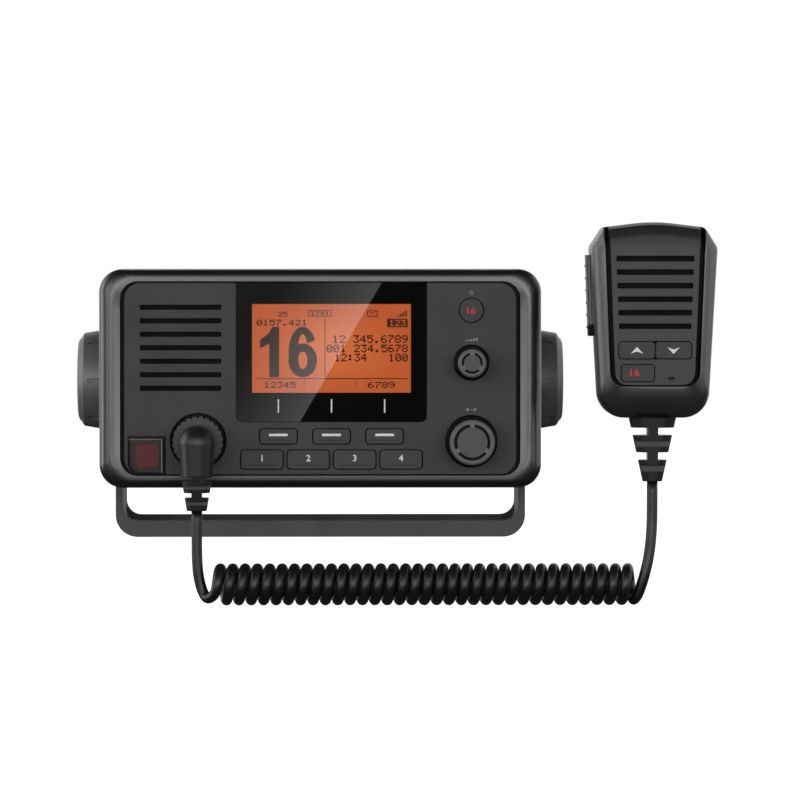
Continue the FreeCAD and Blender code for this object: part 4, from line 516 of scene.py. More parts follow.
# Painted shade: this dark line stands for the shade in the keys' creases, not an ink.
painted_crease_shade = grey("painted_crease_shade", 22, 18, 0.7, cool=0, grain=0.2, height=0.003)
print("inks", white_ink.name, grey_ink.name, red_ink.name, painted_crease_shade.name)

# %% [markdown]
# The window is one pane: black print round the edge, clear in the middle. Real glass bends light and costs
# render time only where it is clear, so the pane has two finishes.

# %% Window
window_black, tree, skin = blank("window_black")
feed(tree, skin, Base_Color=spread(tree, speckle(tree, 20.0), 0.002, 0.0035), IOR=1.5,
     Roughness=spread(tree, speckle(tree, 8.0), 0.0, 0.008))
window_clear, tree, skin = blank("window_clear")
feed(tree, skin, Base_Color=(1, 1, 1, 1), Roughness=spread(tree, speckle(tree, 8.0), 0.0, 0.006), IOR=1.5,
     Transmission_Weight=1.0)
print("window finishes", window_black.name, window_clear.name)

# %% [markdown]
# The liquid crystal panel behind the window gives its own amber light. A light guide spreads it from one
# lamp, so it is a little weaker towards the edges: a round gradient, stretched to the display, does that.
# The figures are dark crystals, which still let a trace of amber through.

# %% Lit display
VIEW_X, VIEW_Z, VIEW_W, VIEW_H = 4.3, 74.8, 61.0, 34.1
GLOW_WIDE, GLOW_HIGH = 33.0, 20.0
lcd_amber, tree, skin = blank("lcd_amber")
shift = feed(tree, add(tree, "Mapping"), Vector=add(tree, "TexCoord").outputs["Object"],
             Location=(-VIEW_X / GLOW_WIDE, 0, -VIEW_Z / GLOW_HIGH),
             Scale=(1 / (GLOW_WIDE * MM), 0, 1 / (GLOW_HIGH * MM)))
fade = add(tree, "TexGradient", gradient_type="QUADRATIC_SPHERE")
tree.links.new(shift.outputs[0], fade.inputs[0])
glowing = spread_colour(tree, fade.outputs["Fac"], shade(184, 84, 36), shade(204, 102, 50), 0.0, 0.5)
feed(tree, skin, Base_Color=(0.02, 0.01, 0.005, 1), Roughness=0.35, Specular_IOR_Level=0.1,
     Emission_Color=glowing, Emission_Strength=1.0)
lcd_dark = opaque("lcd_dark", shade(50, 36, 28), shade(45, 33, 26), 0.5, grain=0.3, height=0.002, level=0.1,
                  Emission_Color=shade(36, 18, 11), Emission_Strength=1.0)
lcd_small = opaque("lcd_small", shade(26, 18, 14), shade(20, 14, 11), 0.5, grain=0.3, height=0.002, level=0.1,
                   Emission_Color=shade(16, 8, 5), Emission_Strength=1.0)
print("display", VIEW_W, "x", VIEW_H, "mm")

# %% [markdown]
# The cover over the emergency key is thin tinted plastic: one sees the red key through it and a soft shine
# on it. A full glass shader would bend the key's edges, which so thin a cover doesn't. So a transparent
# shader shows what lies behind, and a share of shine is laid over it, more of it at a grazing angle.

# %% Red cover and red key
COVER_SHINE = 0.4
red_cover, tree, skin = blank("red_cover")
feed(tree, skin, Base_Color=spread_colour(tree, speckle(tree, 7.0), shade(84, 66, 69), shade(79, 62, 65)),
     Roughness=spread(tree, speckle(tree, 4.0), 0.2, 0.3), IOR=1.49, Specular_IOR_Level=0.2)
thin = feed(tree, add(tree, "BsdfTransparent"), Color=(0.75, 0.6, 0.62, 1))
veil = feed(tree, add(tree, "Fresnel"), IOR=1.49)
cover = mixed(tree, reckon(tree, "ADD", veil.outputs[0], COVER_SHINE), thin.outputs[0], skin.outputs[0])
tree.links.new(cover, tree.nodes["Material Output"].inputs["Surface"])
# Painted light: the red key glows faintly of its own, so that it shows through the tinted cover.
red_key = opaque("red_key", (0.5, 0.02, 0.03, 1), (0.4, 0.015, 0.022, 1), 0.4, grain=0.3, height=0.006,
                 Emission_Color=(0.3, 0.01, 0.02, 1), Emission_Strength=0.7)
# Painted glint: this pale colour marks the light on the red cover's rim.
cover_glint = opaque("cover_glint", shade(122, 102, 108), shade(108, 92, 97), 0.3, grain=0.3, height=0.003)
print("cover finishes", red_cover.name, red_key.name, cover_glint.name)

# %% [markdown]
# ## From CAD solid to finished part
# A CAD solid arrives as loose triangles with knife edges. A real moulding has a small radius on every edge,
# and that radius is what catches the light. Modelling every part again would only risk its sizes, so a copy
# of the node is cleaned instead: doubles merged, flat triangles joined to whole faces, and each sharp edge
# bevelled by a few tenths of a millimetre. Where two edges lie almost in line the bevel can throw a corner
# far out, so such a corner goes back to the nearest point of the old surface.

# %% Cleaning and rounding a mesh
MERGE, CRUMB, FLAT = 2e-6, 1e-6, math.radians(0.6)
SHARP, STRAY = math.radians(32), 1.2


def cleaned(node):
    """Copy of a CAD node's mesh with merged doubles and whole flat faces."""
    work = bmesh.new()
    work.from_mesh(frame["nodes"][node].data)
    bmesh.ops.remove_doubles(work, verts=work.verts, dist=MERGE)
    bmesh.ops.dissolve_degenerate(work, dist=CRUMB, edges=work.edges)
    bmesh.ops.dissolve_limit(work, angle_limit=FLAT, verts=work.verts, edges=work.edges)
    return work


def plain_copy(piece, name):
    """Plain mesh of a piece with its modifiers applied."""
    bpy.context.view_layer.update()
    shown = piece.evaluated_get(bpy.context.evaluated_depsgraph_get())
    mesh = bpy.data.meshes.new_from_object(shown)
    mesh.name = name
    return mesh


def rounded(mesh, name, edge):
    """Mesh with every sharp edge bevelled and its flat faces kept flat in the shading."""
    for face in mesh.polygons:
        face.use_smooth = True
    holder = placed(name, mesh)
    bevel = holder.modifiers.new("edge", "BEVEL")
    bevel.limit_method = "ANGLE"
    bevel.angle_limit = SHARP
    bevel.width = edge * MM
    bevel.segments = 2
    bevel.harden_normals = True
    bevel.use_clamp_overlap = False
    made = plain_copy(holder, name)
    surface = BVHTree.FromPolygons([vertex.co for vertex in mesh.vertices],
                                   [list(face.vertices) for face in mesh.polygons])
    for vertex in made.vertices:
        near, _, _, away = surface.find_nearest(vertex.co)
        if away > STRAY * edge * MM:
            vertex.co = near
    bpy.data.objects.remove(holder)
    return made


print("edges sharper than", round(math.degrees(SHARP)), "degrees are rounded")

# %% [markdown]
# The rounded copy stands for the CAD node: it rides on the same body. The node itself stays behind it for
# collisions, hidden. A few parts also need a small change to their shape, so a function that makes it can
# be handed in.

# %% Dressing a CAD node


def body_of(node):
    """Name of the body that a CAD node rides on."""
    return frame["nodes"][node]["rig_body"]


def slot_of(node):
    """Name of the record's slot that a CAD node is finished from."""
    return next(row["material_slot"] for row in frame["record"]["subparts"] if row["node"] == node)


def dressed(node, finish, edge=0.25, change=None):
    """Rounded copy of a CAD node that stands for it, on the same body, after a change to its mesh."""
    work = cleaned(node)
    if change:
        change(work)
    mesh = mesh_of(work, node + "_shape")
    if "custom_normal" in mesh.attributes:
        mesh.attributes.remove(mesh.attributes["custom_normal"])
    shape = rounded(mesh, node + "_shape", edge)
    piece = finished(node + "_piece", shape, finish, body_of(node))
    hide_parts(node)
    return piece


def cut_across(work, place, normal):
    """Gives a mesh new vertices all along a plane."""
    parts = list(work.verts) + list(work.edges) + list(work.faces)
    bmesh.ops.bisect_plane(work, geom=parts, plane_co=place, plane_no=normal, dist=1e-7)


print("the housing rides on", body_of("front_bezel"), "and has the slot", slot_of("front_bezel"))

# %% [markdown]
# The housing's side bands lean a little towards the panel: from their crest they fall away inwards too, by
# over half a millimetre. Two cuts along each band give that slope its vertices, and what lies inside moves
# back with it.

# %% Housing
HOUSING_MIDDLE_Z, BAND_BACK_Y = 63.2, -64.5
BAND_FROM_X, BAND_INNER, BAND_CREST, BAND_LEAN = 70, 76.75, 80.6, 0.17
BEND_START, BEND_STOP = 34.0, 26.0


def crowned(work):
    """Slopes the front of both side bands towards the panel."""
    for side in (-1, 1):
        for x in (BAND_CREST, (BAND_CREST + BAND_INNER) / 2):
            cut_across(work, at(side * x, 0, 0), (1, 0, 0))
    for rise in (-BEND_START, -BEND_STOP, BEND_STOP, BEND_START):
        cut_across(work, at(0, 0, HOUSING_MIDDLE_Z + rise), (0, 0, 1))
    for vertex in work.verts:
        x, y, z = (c / MM for c in vertex.co)
        if y < BAND_BACK_Y and BAND_FROM_X < abs(x) < BAND_CREST:
            fade = min(1, max(0, (BEND_START - abs(z - HOUSING_MIDDLE_Z)) / (BEND_START - BEND_STOP)))
            vertex.co.y += (BAND_CREST - abs(x)) * BAND_LEAN * fade * MM


bezel = dressed("front_bezel", bezel_black, 0.2, change=crowned)
print("housing faces", len(bezel.data.polygons), "from", extent(bezel))

# %% [markdown]
# The panel's opening over the display has round corners from the cutter. The lit view is square-cornered,
# so those corners are pushed out to the square. The walls of the key openings lie in their own shadow, and
# that shade is painted: they get a near-black finish, which gives each key its dark outline. They are found
# by their place and by their normals: a wall doesn't face the front.

# %% Front panel
CONTROL_X = 58.0
VIEW_ROUND = 1.25
FACES_FRONT = -0.95
KEY_ROWS, POWER_KEY = (VIEW_X, 36.6, 36.0, 10.0), (CONTROL_X, 89.4, 8.0, 8.0)


def squared(work):
    """Pushes the round corners of the display opening out to a square."""
    half_w, half_h = VIEW_W / 2 - VIEW_ROUND, VIEW_H / 2 - VIEW_ROUND
    for vertex in work.verts:
        right, up = vertex.co.x / MM - VIEW_X, vertex.co.z / MM - VIEW_Z
        past_side, past_end = abs(right) - half_w, abs(up) - half_h
        if 0 < past_side <= VIEW_ROUND and 0 < past_end <= VIEW_ROUND:
            grow = VIEW_ROUND / max(past_side, past_end)
            vertex.co.x = (VIEW_X + math.copysign(half_w + past_side * grow, right)) * MM
            vertex.co.z = (VIEW_Z + math.copysign(half_h + past_end * grow, up)) * MM


def darkened(piece, finish, *fields):
    """Second finish, a painted shade, for faces that don't look to the front, inside fields of middle x, z
    and half sizes.
    """
    piece.data.materials.append(finish)
    for face in piece.data.polygons:
        x, _, z = (c / MM for c in face.center)
        inside = any(abs(x - at_x) < wide and abs(z - at_z) < high for at_x, at_z, wide, high in fields)
        if inside and face.normal.y > FACES_FRONT:
            face.material_index = 1


panel = dressed("front_panel", panel_black, 0.18, change=squared)
# Painted shade on the walls of the key openings.
darkened(panel, near_black, KEY_ROWS, POWER_KEY)
print("dark faces of the panel", sum(face.material_index for face in panel.data.polygons))

# %% [markdown]
# Most other parts need the rounding and a finish, and nothing else: the bracket, the chassis, the clamps, the
# keys and the rubber parts of the plug and the cord. The last number is the radius of their edges.

# %% Parts that need no more than this
# The microphone socket's finish below is painted shade for its deep well.
for node, finish, edge in (("bracket", powder_black, 0.3), ("chassis", chassis_black, 0.3),
                           ("clamp_knob_left", clamp_black, 0.1), ("clamp_knob_right", clamp_black, 0.1),
                           ("power_key", key_rubber, 0.2), ("coupling_ring", cord_rubber, 0.05),
                           ("plug_boot", soft_rubber, 0.08), ("mic_strain_relief", soft_rubber, 0.12),
                           ("mic_rear_shell", case_black, 0.25), ("mic_up_key", key_rubber, 0.2),
                           ("mic_down_key", key_rubber, 0.2), ("mic_channel_key", key_rubber, 0.2),
                           ("mic_socket", well_shade_black, 0.15)):
    dressed(node, finish, edge)
for index in range(4):
    dressed("function_key_%d" % (index + 1), key_rubber, 0.2)
for side in ("left", "middle", "right"):
    dressed("soft_key_" + side, key_rubber, 0.2)

# %% [markdown]
# The two front knobs are moulded in one piece. The turned face is grey; the side and the sunken ring lie in
# shade, and that shade is painted with the near-black finish. The faces are sorted by how far they lie from
# the knob's axis and behind its front, and each group gets its own material slot.

# %% Front knobs
# Of each knob: its height, its front, the radius of its turned face, and both radii of its ring.
KNOBS = {"volume": (69.4, -78.6, 5.6, 3.2, 4.0), "select": (39.2, -80.6, 8.8, 5.8, 6.9)}
SLACK, RING_SUNK, SIDE_SUNK = 0.1, 0.3, 0.5


def corners_of(piece, face):
    """Corners of a face, in millimetres."""
    return [piece.data.vertices[index].co / MM for index in face.vertices]


def dark_side(corners, z, front, top_r, ring_in, ring_out):
    """Whether a face of a knob lies in its ring or on its side, where shade is painted."""
    away = sum(math.hypot(corner.x - CONTROL_X, corner.z - z) for corner in corners) / len(corners)
    sunk = sum(corner.y for corner in corners) / len(corners) - front
    in_ring = ring_in - SLACK < away < ring_out + SLACK and sunk > RING_SUNK
    return in_ring or (away > top_r - SLACK and sunk > SIDE_SUNK)


for name, sizes in KNOBS.items():
    knob = dressed(name + "_knob", knob_black, 0.2)
    # The ring and the side get the near-black finish as painted shade.
    knob.data.materials.append(near_black)
    for face in knob.data.polygons:
        face.material_index = int(dark_side(corners_of(knob, face), *sizes))
    print(name, "knob, dark faces", sum(face.material_index for face in knob.data.polygons))

# %% [markdown]
# The microphone's case turns back at its sides as an almost flat bevel, with a tight round at the rim. The
# CAD form has a plain quarter round there. Both pass through the same outlines, so the bevel is made by
# moving each outline to another depth: the side view changes a little and the front view not at all.

# %% A bevel from a quarter round
MIC_FRONT_Y, MIC_ROUND_DEPTH, ROUND_STEPS = -105.0, 11.0, 5
BEVEL_SHARE, BEVEL_BEND, RIM_BEND = 0.33, 1.25, 16


def bevel_depth(lean):
    """Share of the depth at which the bevel reaches the quarter round's outline of this lean."""
    return BEVEL_SHARE * math.sin(lean) ** BEVEL_BEND + (1 - BEVEL_SHARE) * math.sin(lean) ** RIM_BEND


def flatter(work):
    """Moves the outlines of the microphone's round front so that its sides lie in a flat bevel."""
    leans = [math.pi / 2 * step / ROUND_STEPS for step in range(ROUND_STEPS + 1)]
    before = [1 - math.cos(lean) for lean in leans]
    after = [bevel_depth(lean) for lean in leans]
    for vertex in work.verts:
        depth = (vertex.co.y / MM - MIC_FRONT_Y) / MIC_ROUND_DEPTH
        if 0 < depth < 1:
            vertex.co.y = (MIC_FRONT_Y + MIC_ROUND_DEPTH * float(np.interp(depth, before, after))) * MM


print("half way round, the bevel is at", round(bevel_depth(math.pi / 4), 2), "of the depth")

# %% [markdown]
# A channel parts the case from its face insert. It lies in shade, and that shade is painted with the
# near-black finish. It is wider at the top, so a face of the mesh belongs to it when all its corners lie
# inside that leaning outline. The insert's key openings get the same painted shade.

# %% Microphone case and face
FACE_FOOT_Z, FACE_TOP_Z, CHANNEL_LOW, CHANNEL_HIGH = 61.1, 128.6, 16.9, 19.6
MIC_KEYS = (MIC_X, 70.5, 14.5, 9.0)


def in_channel(corner):
    """Whether a corner lies between the outer edges of the channel."""
    rise = (corner.z - FACE_FOOT_Z) / (FACE_TOP_Z - FACE_FOOT_Z)
    return rise > 0 and abs(corner.x - MIC_X) < CHANNEL_LOW + rise * (CHANNEL_HIGH - CHANNEL_LOW)


mic_case = dressed("mic_front_shell", case_black, 0.1, change=flatter)
mic_case.data.materials.append(near_black)
# Painted shade: the channel's faces get the near-black finish.
for face in mic_case.data.polygons:
    if all(in_channel(corner) for corner in corners_of(mic_case, face)):
        face.material_index = 1
mic_face = dressed("mic_face", face_black, 0.12, change=flatter)
# Painted shade on the walls of the microphone's key openings.
darkened(mic_face, near_black, MIC_KEYS)
print("microphone case faces", len(mic_case.data.polygons), len(mic_face.data.polygons))

# %% [markdown]
# The press-to-talk bar leans a little less than its CAD solid: its top stands half a millimetre further in.
# Its ribs stand out six tenths as far. Both are small moves of the solid's own vertices. The lowest few
# millimetres of the bar get the near-black finish, and a cut across the mesh gives that change of finish a
# straight edge.

# %% Press-to-talk bar
BAR_TOP_X, BAR_TOP_Z, BAR_LENGTH, BAR_INNER_X = 100.2, 110.75, 30.7, 103.4
CAD_LEAN, BAR_INSET, RIB_REACH = math.tan(math.radians(3.0)), 0.5, 0.6
DARK_FOOT = 4.4
BAR_DARK_Z = BAR_TOP_Z - BAR_LENGTH + DARK_FOOT


def straighter(work):
    """Stands the outer side of the bar more upright and draws its ribs in."""
    for vertex in work.verts:
        x, drop = vertex.co.x / MM, BAR_TOP_Z - vertex.co.z / MM
        if x < BAR_INNER_X and 0 <= drop <= BAR_LENGTH:
            proud = min(0, x - BAR_TOP_X - drop * CAD_LEAN)
            vertex.co.x += (BAR_INSET * (1 - drop / BAR_LENGTH) - proud * (1 - RIB_REACH)) * MM
    cut_across(work, at(0, 0, BAR_DARK_Z), (0, 0, 1))


ptt = dressed("ptt_bar", bar_grey, 0.06, change=straighter)
ptt.data.materials.append(near_black)
for face in ptt.data.polygons:
    face.material_index = int(face.center.z < BAR_DARK_Z * MM)
print("press-to-talk bar", extent(ptt))

# %% [markdown]
# ## Marks and small flat parts
# Bars, ticks and slots are all rounded plates in a row. Drawing each one by hand would repeat the same
# sizes. Geometry Nodes can make them from a few inputs, so first comes a helper that writes such a tree step
# by step. Its last step makes the instances real and sets one finish, because an export drops instances.

# %% A tree of nodes with named inputs
KINDS = {float: "NodeSocketFloat", int: "NodeSocketInt"}


class Recipe:
    """Geometry Nodes tree that is written step by step."""

    def __init__(self, name, **sizes):
        self.tree = bpy.data.node_groups.new(name, "GeometryNodeTree")
        face = self.tree.interface
        face.new_socket("Geometry", in_out="INPUT", socket_type="NodeSocketGeometry")
        face.new_socket("Geometry", in_out="OUTPUT", socket_type="NodeSocketGeometry")
        for label, kind in sizes.items():
            face.new_socket(label, in_out="INPUT", socket_type=KINDS[kind])
        face.new_socket("Finish", in_out="INPUT", socket_type="NodeSocketMaterial")
        self.source = self.tree.nodes.new("NodeGroupInput").outputs

    def step(self, kind, *wires, settings=(), **values):
        """New node; wires go to its first inputs and values to the named ones. Returns its first output."""
        node = self.tree.nodes.new(kind)
        for key, value in dict(settings).items():
            setattr(node, key, value)
        plugs = [(node.inputs[index], wire) for index, wire in enumerate(wires) if wire is not None]
        plugs += [(next(s for s in node.inputs if s.name == key.replace("_", " ") and s.enabled), value)
                  for key, value in values.items()]
        for socket, value in plugs:
            plug(self.tree, socket, value)
        return node.outputs[0]

    def reckon(self, operation, *values):
        """Result of one Math node."""
        return self.step("ShaderNodeMath", *values, settings={"operation": operation})

    def vector(self, x=0.0, y=0.0, z=0.0):
        """Vector from three numbers or sockets."""
        return self.step("ShaderNodeCombineXYZ", x, y, z)

    def join(self, *parts):
        """Several geometries as one."""
        node = self.tree.nodes.new("GeometryNodeJoinGeometry")
        for part in parts:
            self.tree.links.new(part, node.inputs[0])
        return node.outputs[0]

    def serve(self, points, instance, **values):
        """Ends the tree: one instance on each point, made real, with one finish."""
        rows = self.step("GeometryNodeInstanceOnPoints", points, Instance=instance, **values)
        real = self.step("GeometryNodeRealizeInstances", rows)
        done = self.step("GeometryNodeSetMaterial", real, Material=self.source["Finish"])
        self.tree.links.new(done, self.tree.nodes.new("NodeGroupOutput").inputs[0])


print("kinds of input", [kind.__name__ for kind in KINDS])

# %% [markdown]
# A recipe is run by a modifier on a holder object. Its inputs are set by each socket's identifier before the
# tree first runs, and the result is read as a plain mesh, so nothing is left to run later.

# %% Running a recipe


def cooked(recipe, name, finish, places=None, **values):
    """Plain mesh that a recipe makes from its inputs, on given places or on nothing."""
    base = bpy.data.meshes.new(name)
    if places:
        base.from_pydata(places, [], [])
    holder = placed(name, base)
    modifier = holder.modifiers.new("recipe", "NODES")
    modifier.node_group = recipe.tree
    values["Finish"] = finish
    for item in recipe.tree.interface.items_tree:
        if item.in_out == "INPUT" and item.name in values:
            modifier[item.identifier] = values[item.name]
    mesh = plain_copy(holder, name)
    bpy.data.objects.remove(holder)
    return mesh


print("node trees so far", len(bpy.data.node_groups))

# %% [markdown]
# The plate itself: a rectangle with filleted corners, filled and extruded. Its back is the same face turned
# over, and the two are merged into one closed solid. The row can also grow narrower from plate to plate, as
# the slots of the microphone do.

# %% A row of rounded plates
FILLET_STEPS = 6
plates = Recipe("row_of_plates", Width=float, Height=float, Corner=float, Thick=float, Count=int, Step=float,
                Shrink=float)
tab = plates.source
outline = plates.step("GeometryNodeCurvePrimitiveQuadrilateral", tab["Width"], tab["Height"])
outline = plates.step("GeometryNodeFilletCurve", outline, settings={"mode": "POLY"}, Count=FILLET_STEPS,
                      Radius=tab["Corner"])
flat = plates.step("GeometryNodeFillCurve", outline, settings={"mode": "NGONS"})
plate = plates.step("GeometryNodeExtrudeMesh", flat, None, plates.vector(0.0, 0.0, 1.0), tab["Thick"],
                    settings={"mode": "FACES"})
plate = plates.join(plates.step("GeometryNodeFlipFaces", flat), plate)
plate = plates.step("GeometryNodeMergeByDistance", plate, Distance=1e-7)
row = plates.step("GeometryNodeMeshLine", settings={"mode": "OFFSET"}, Count=tab["Count"],
                  Offset=plates.vector(0.0, tab["Step"], 0.0))
lost = plates.reckon("MULTIPLY", tab["Shrink"], plates.step("GeometryNodeInputIndex"))
left = plates.reckon("SUBTRACT", 1.0, plates.reckon("DIVIDE", lost, tab["Width"]))
plates.serve(row, plate, Scale=plates.vector(left, 1.0, 1.0))

TO_FRONT = Matrix.Rotation(math.pi / 2, 4, "X")
ALONG_X = TO_FRONT @ Matrix.Rotation(-math.pi / 2, 4, "Z")
CORNER_SHARE = 0.3


def plates_at(name, x, y, z, width, height, finish, count=1, step=0.0, corner=None, thick=0.06, shrink=0.0,
              along_x=False):
    """Row of rounded plates whose backs lie at y, facing the front; the row runs up, or along X."""
    if along_x:
        width, height = height, width
    corner = min(width, height) * CORNER_SHARE if corner is None else corner
    mesh = cooked(plates, name, finish, Width=width * MM, Height=height * MM, Corner=corner * MM,
                  Thick=thick * MM, Count=count, Step=step * MM, Shrink=shrink * MM)
    mesh.transform(Matrix.Translation(at(x, y, z)) @ (ALONG_X if along_x else TO_FRONT))
    return mesh


print("inputs", [item.name for item in plates.tree.interface.items_tree])

# %% [markdown]
# Behind each row of sound slots lies black cloth that keeps spray off the loudspeaker. It fills the slots
# a little way down, so the slots read as black and not as windows into the housing.

# %% Cloth in the sound slots
SLOT_X, SLOT_TOP, SLOT_STEP, CLOTH_Y = -53.6, 90.6, -5.18, -64.5
SLOT_W, SLOT_H, SLOT_COUNT, CLOTH_T = 31.2, 1.9, 7, 0.2
MIC_SLOT_TOP, MIC_SLOT_STEP, MIC_CLOTH_Y = 109.4, -5.09, -103.6
MIC_SLOT_W, MIC_SLOT_H, MIC_SLOT_COUNT, MIC_SLOT_SHRINK = 29.4, 2.0, 6, 0.44
cloth = plates_at("slot_cloth", SLOT_X, CLOTH_Y, SLOT_TOP, SLOT_W, SLOT_H, cloth_black, SLOT_COUNT, SLOT_STEP,
                  corner=0.85, thick=CLOTH_T)
finished("slot_cloth", cloth, None, "radio")
cloth = plates_at("mic_slot_cloth", MIC_X, MIC_CLOTH_Y, MIC_SLOT_TOP, MIC_SLOT_W, MIC_SLOT_H, cloth_black,
                  MIC_SLOT_COUNT, MIC_SLOT_STEP, corner=0.6, thick=CLOTH_T, shrink=MIC_SLOT_SHRINK)
finished("mic_slot_cloth", cloth, None, "mic")
print("cloth faces of the microphone", len(cloth.polygons))

# %% [markdown]
# ## The window pane
# A pane is a flat plate, so mesh code draws its outline once: square at the top, round at the lower
# corners. The view is a second outline inside it. The faces between the two are the black print, the face
# inside is clear, and one extrusion gives both the pane's thickness.

# %% Outlines, and how they get a thickness


def corner_points(x, z, radius, start, steps=6):
    """Quarter round of an outline, from a start angle in degrees."""
    return [(x + radius * math.cos(math.radians(start + 90 * k / steps)),
             z + radius * math.sin(math.radians(start + 90 * k / steps))) for k in range(steps + 1)]


def frame_outline(x0, x1, z0, z1, lower, upper):
    """Rounded outline, anticlockwise from the lower left corner."""
    points = corner_points(x0 + lower, z0 + lower, lower, 180)
    points += corner_points(x1 - lower, z0 + lower, lower, 270)
    if not upper:
        return points + [(x1, z1), (x0, z1)]
    points += corner_points(x1 - upper, z1 - upper, upper, 0)
    return points + corner_points(x0 + upper, z1 - upper, upper, 90)


def thickened(work, faces, depth):
    """Turns flat faces to the front and gives them this depth in millimetres, along Y."""
    for face in faces:
        face.normal_update()
        if face.normal.y > 0:
            face.normal_flip()
    grown = bmesh.ops.extrude_face_region(work, geom=faces, use_keep_orig=True)
    moved = [v for v in grown["geom"] if isinstance(v, bmesh.types.BMVert)]
    bmesh.ops.translate(work, verts=moved, vec=(0, depth * MM, 0))


print("points of a corner", len(corner_points(0, 0, 1, 0)))

# %% [markdown]
# The three white ticks on the print point at the soft keys below the window. They are plates in a row, like
# the slots, but the row runs along X.

# %% Window pane and its ticks
PANE_FRONT_Y, PANE_T, PANE_ROUND, VIEW_CORNER = -65.8, 1.6, 2.2, 0.15
PANE_LEFT, PANE_RIGHT, PANE_LOW, PANE_TOP = -32.25, 40.85, 46.7, 100.0
KEY_STEP, TICK_Z, TICK_W, TICK_H = 20.4, 52.7, 0.5, 5.2


def pane(y_front, thick, outer, inner):
    """Flat plate whose inner outline is a face of its own with the second finish."""
    work = bmesh.new()
    rings, edges = [], []
    for outline in (outer, inner):
        ring = [work.verts.new(at(x, y_front, z)) for x, z in outline]
        edges += [work.edges.new((ring[k - 1], ring[k])) for k in range(len(ring))]
        rings.append(ring)
    bmesh.ops.triangle_fill(work, use_beauty=True, use_dissolve=False, edges=edges)
    clear = work.faces.new(rings[1])
    clear.material_index = 1
    thickened(work, list(work.faces), thick)
    bmesh.ops.recalc_face_normals(work, faces=work.faces)
    return mesh_of(work, "pane")


ticks = plates_at("window_ticks", VIEW_X - KEY_STEP, PANE_FRONT_Y, TICK_Z, TICK_W, TICK_H, white_ink, 3,
                  KEY_STEP, corner=0.1, thick=0.04, along_x=True)
finished("window_ticks", ticks, None, "radio")
pane_outline = frame_outline(PANE_LEFT, PANE_RIGHT, PANE_LOW, PANE_TOP, PANE_ROUND, 0)
view_outline = frame_outline(VIEW_X - VIEW_W / 2, VIEW_X + VIEW_W / 2, VIEW_Z - VIEW_H / 2,
                             VIEW_Z + VIEW_H / 2, VIEW_CORNER, VIEW_CORNER)
pane_mesh = pane(PANE_FRONT_Y, PANE_T, pane_outline, view_outline)
pane_mesh.materials.append(window_black)
pane_mesh.materials.append(window_clear)
window = finished("window_pane", pane_mesh, None, "radio")
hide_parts("display_window")
print("pane", extent(window))

# %% [markdown]
# ## Figures and signs
# Blender's own font gives plain figures. A text object is made a mesh, given a hair of thickness and set
# upright on its key. Signs that have no figure, such as an arrow or a power mark, are drawn as flat
# outlines in the same plane.

# %% Lettering


def figures(text, x, y, z, height, thick=0.05, wide=1.0, bold=0.0):
    """Mesh of figures, height millimetres tall, centred at x and z, with their backs at y."""
    curve = bpy.data.curves.new("figures", "FONT")
    curve.body = text
    curve.size = 1.0
    curve.extrude = 0.5
    curve.offset = bold
    holder = bpy.data.objects.new("figures", curve)
    mesh = bpy.data.meshes.new_from_object(holder)
    bpy.data.objects.remove(holder)
    points = np.array([v.co for v in mesh.vertices])
    low, high = points.min(0), points.max(0)
    scale = height / (high[1] - low[1])
    middle = (low + high) / 2
    grow = Matrix.Diagonal((scale * wide * MM, scale * MM, thick * MM, 1))
    mesh.transform(Matrix.Translation(at(x, y - thick / 2, z)) @ TO_FRONT @ grow
                   @ Matrix.Translation((-middle[0], -middle[1], 0)))
    return mesh


def sign(outlines, y, thick=0.05):
    """Flat signs from closed outlines of x and z, with their backs at y."""
    work = bmesh.new()
    for outline in outlines:
        thickened(work, [work.faces.new([work.verts.new(at(x, y, z)) for x, z in outline])], -thick)
    bmesh.ops.recalc_face_normals(work, faces=work.faces)
    return mesh_of(work, "sign")


def together(name, *meshes):
    """One mesh from several."""
    work = bmesh.new()
    for mesh in meshes:
        work.from_mesh(mesh)
        bpy.data.meshes.remove(mesh)
    return mesh_of(work, name)


def bar(x0, x1, z0, z1):
    """Outline of a plain bar."""
    return [(x0, z0), (x1, z0), (x1, z1), (x0, z1)]


def band(x, z, inner, outer, start, stop, steps=24):
    """Outline of a round band between two angles in degrees; each radius is a pair, across and up."""
    turn = [math.radians(start + (stop - start) * k / steps) for k in range(steps + 1)]
    return ([(x + outer[0] * math.cos(a), z + outer[1] * math.sin(a)) for a in turn]
            + [(x + inner[0] * math.cos(a), z + inner[1] * math.sin(a)) for a in reversed(turn)])


print("a figure is", len(figures("1", 0, 0, 0, 2).vertices), "vertices")

# %% [markdown]
# The function keys carry plain numerals and the soft keys white bars. Each mark is its own piece on its
# key's body, so that it goes down with the key. Below each mark a thin dark line crosses the key: painted
# shade, where the real one has a shallow crease.

# %% Marks on the keys
KEY_FACE = -66.1
FUNCTION_KEYS_X, FIGURE_Z, FIGURE_H = (-22.4, -4.6, 13.2, 31.0), 32.7, 2.5
SOFT_KEYS_X, BAR_Z, BAR_W, BAR_H = (-16.1, 4.3, 24.7), 41.6, 7.2, 0.95
CREASE_H, CREASE_T = 0.25, 0.03
FIGURE_CREASE, BAR_CREASE = (30.0, 10.5), (39.5, 10.9)
POWER_Z, POWER_H = 89.3, 2.6


def mark(name, mesh, key, finish=None):
    """Mark that rides on a key, printed or painted shade; a mesh from a recipe brings its own finish."""
    return finished(name, mesh, finish, key)


def crease(x, z, width):
    """Dark line across a key: the painted shade of its crease."""
    return plates_at("crease", x, KEY_FACE + 0.01, z, width, CREASE_H, painted_crease_shade, thick=CREASE_T)


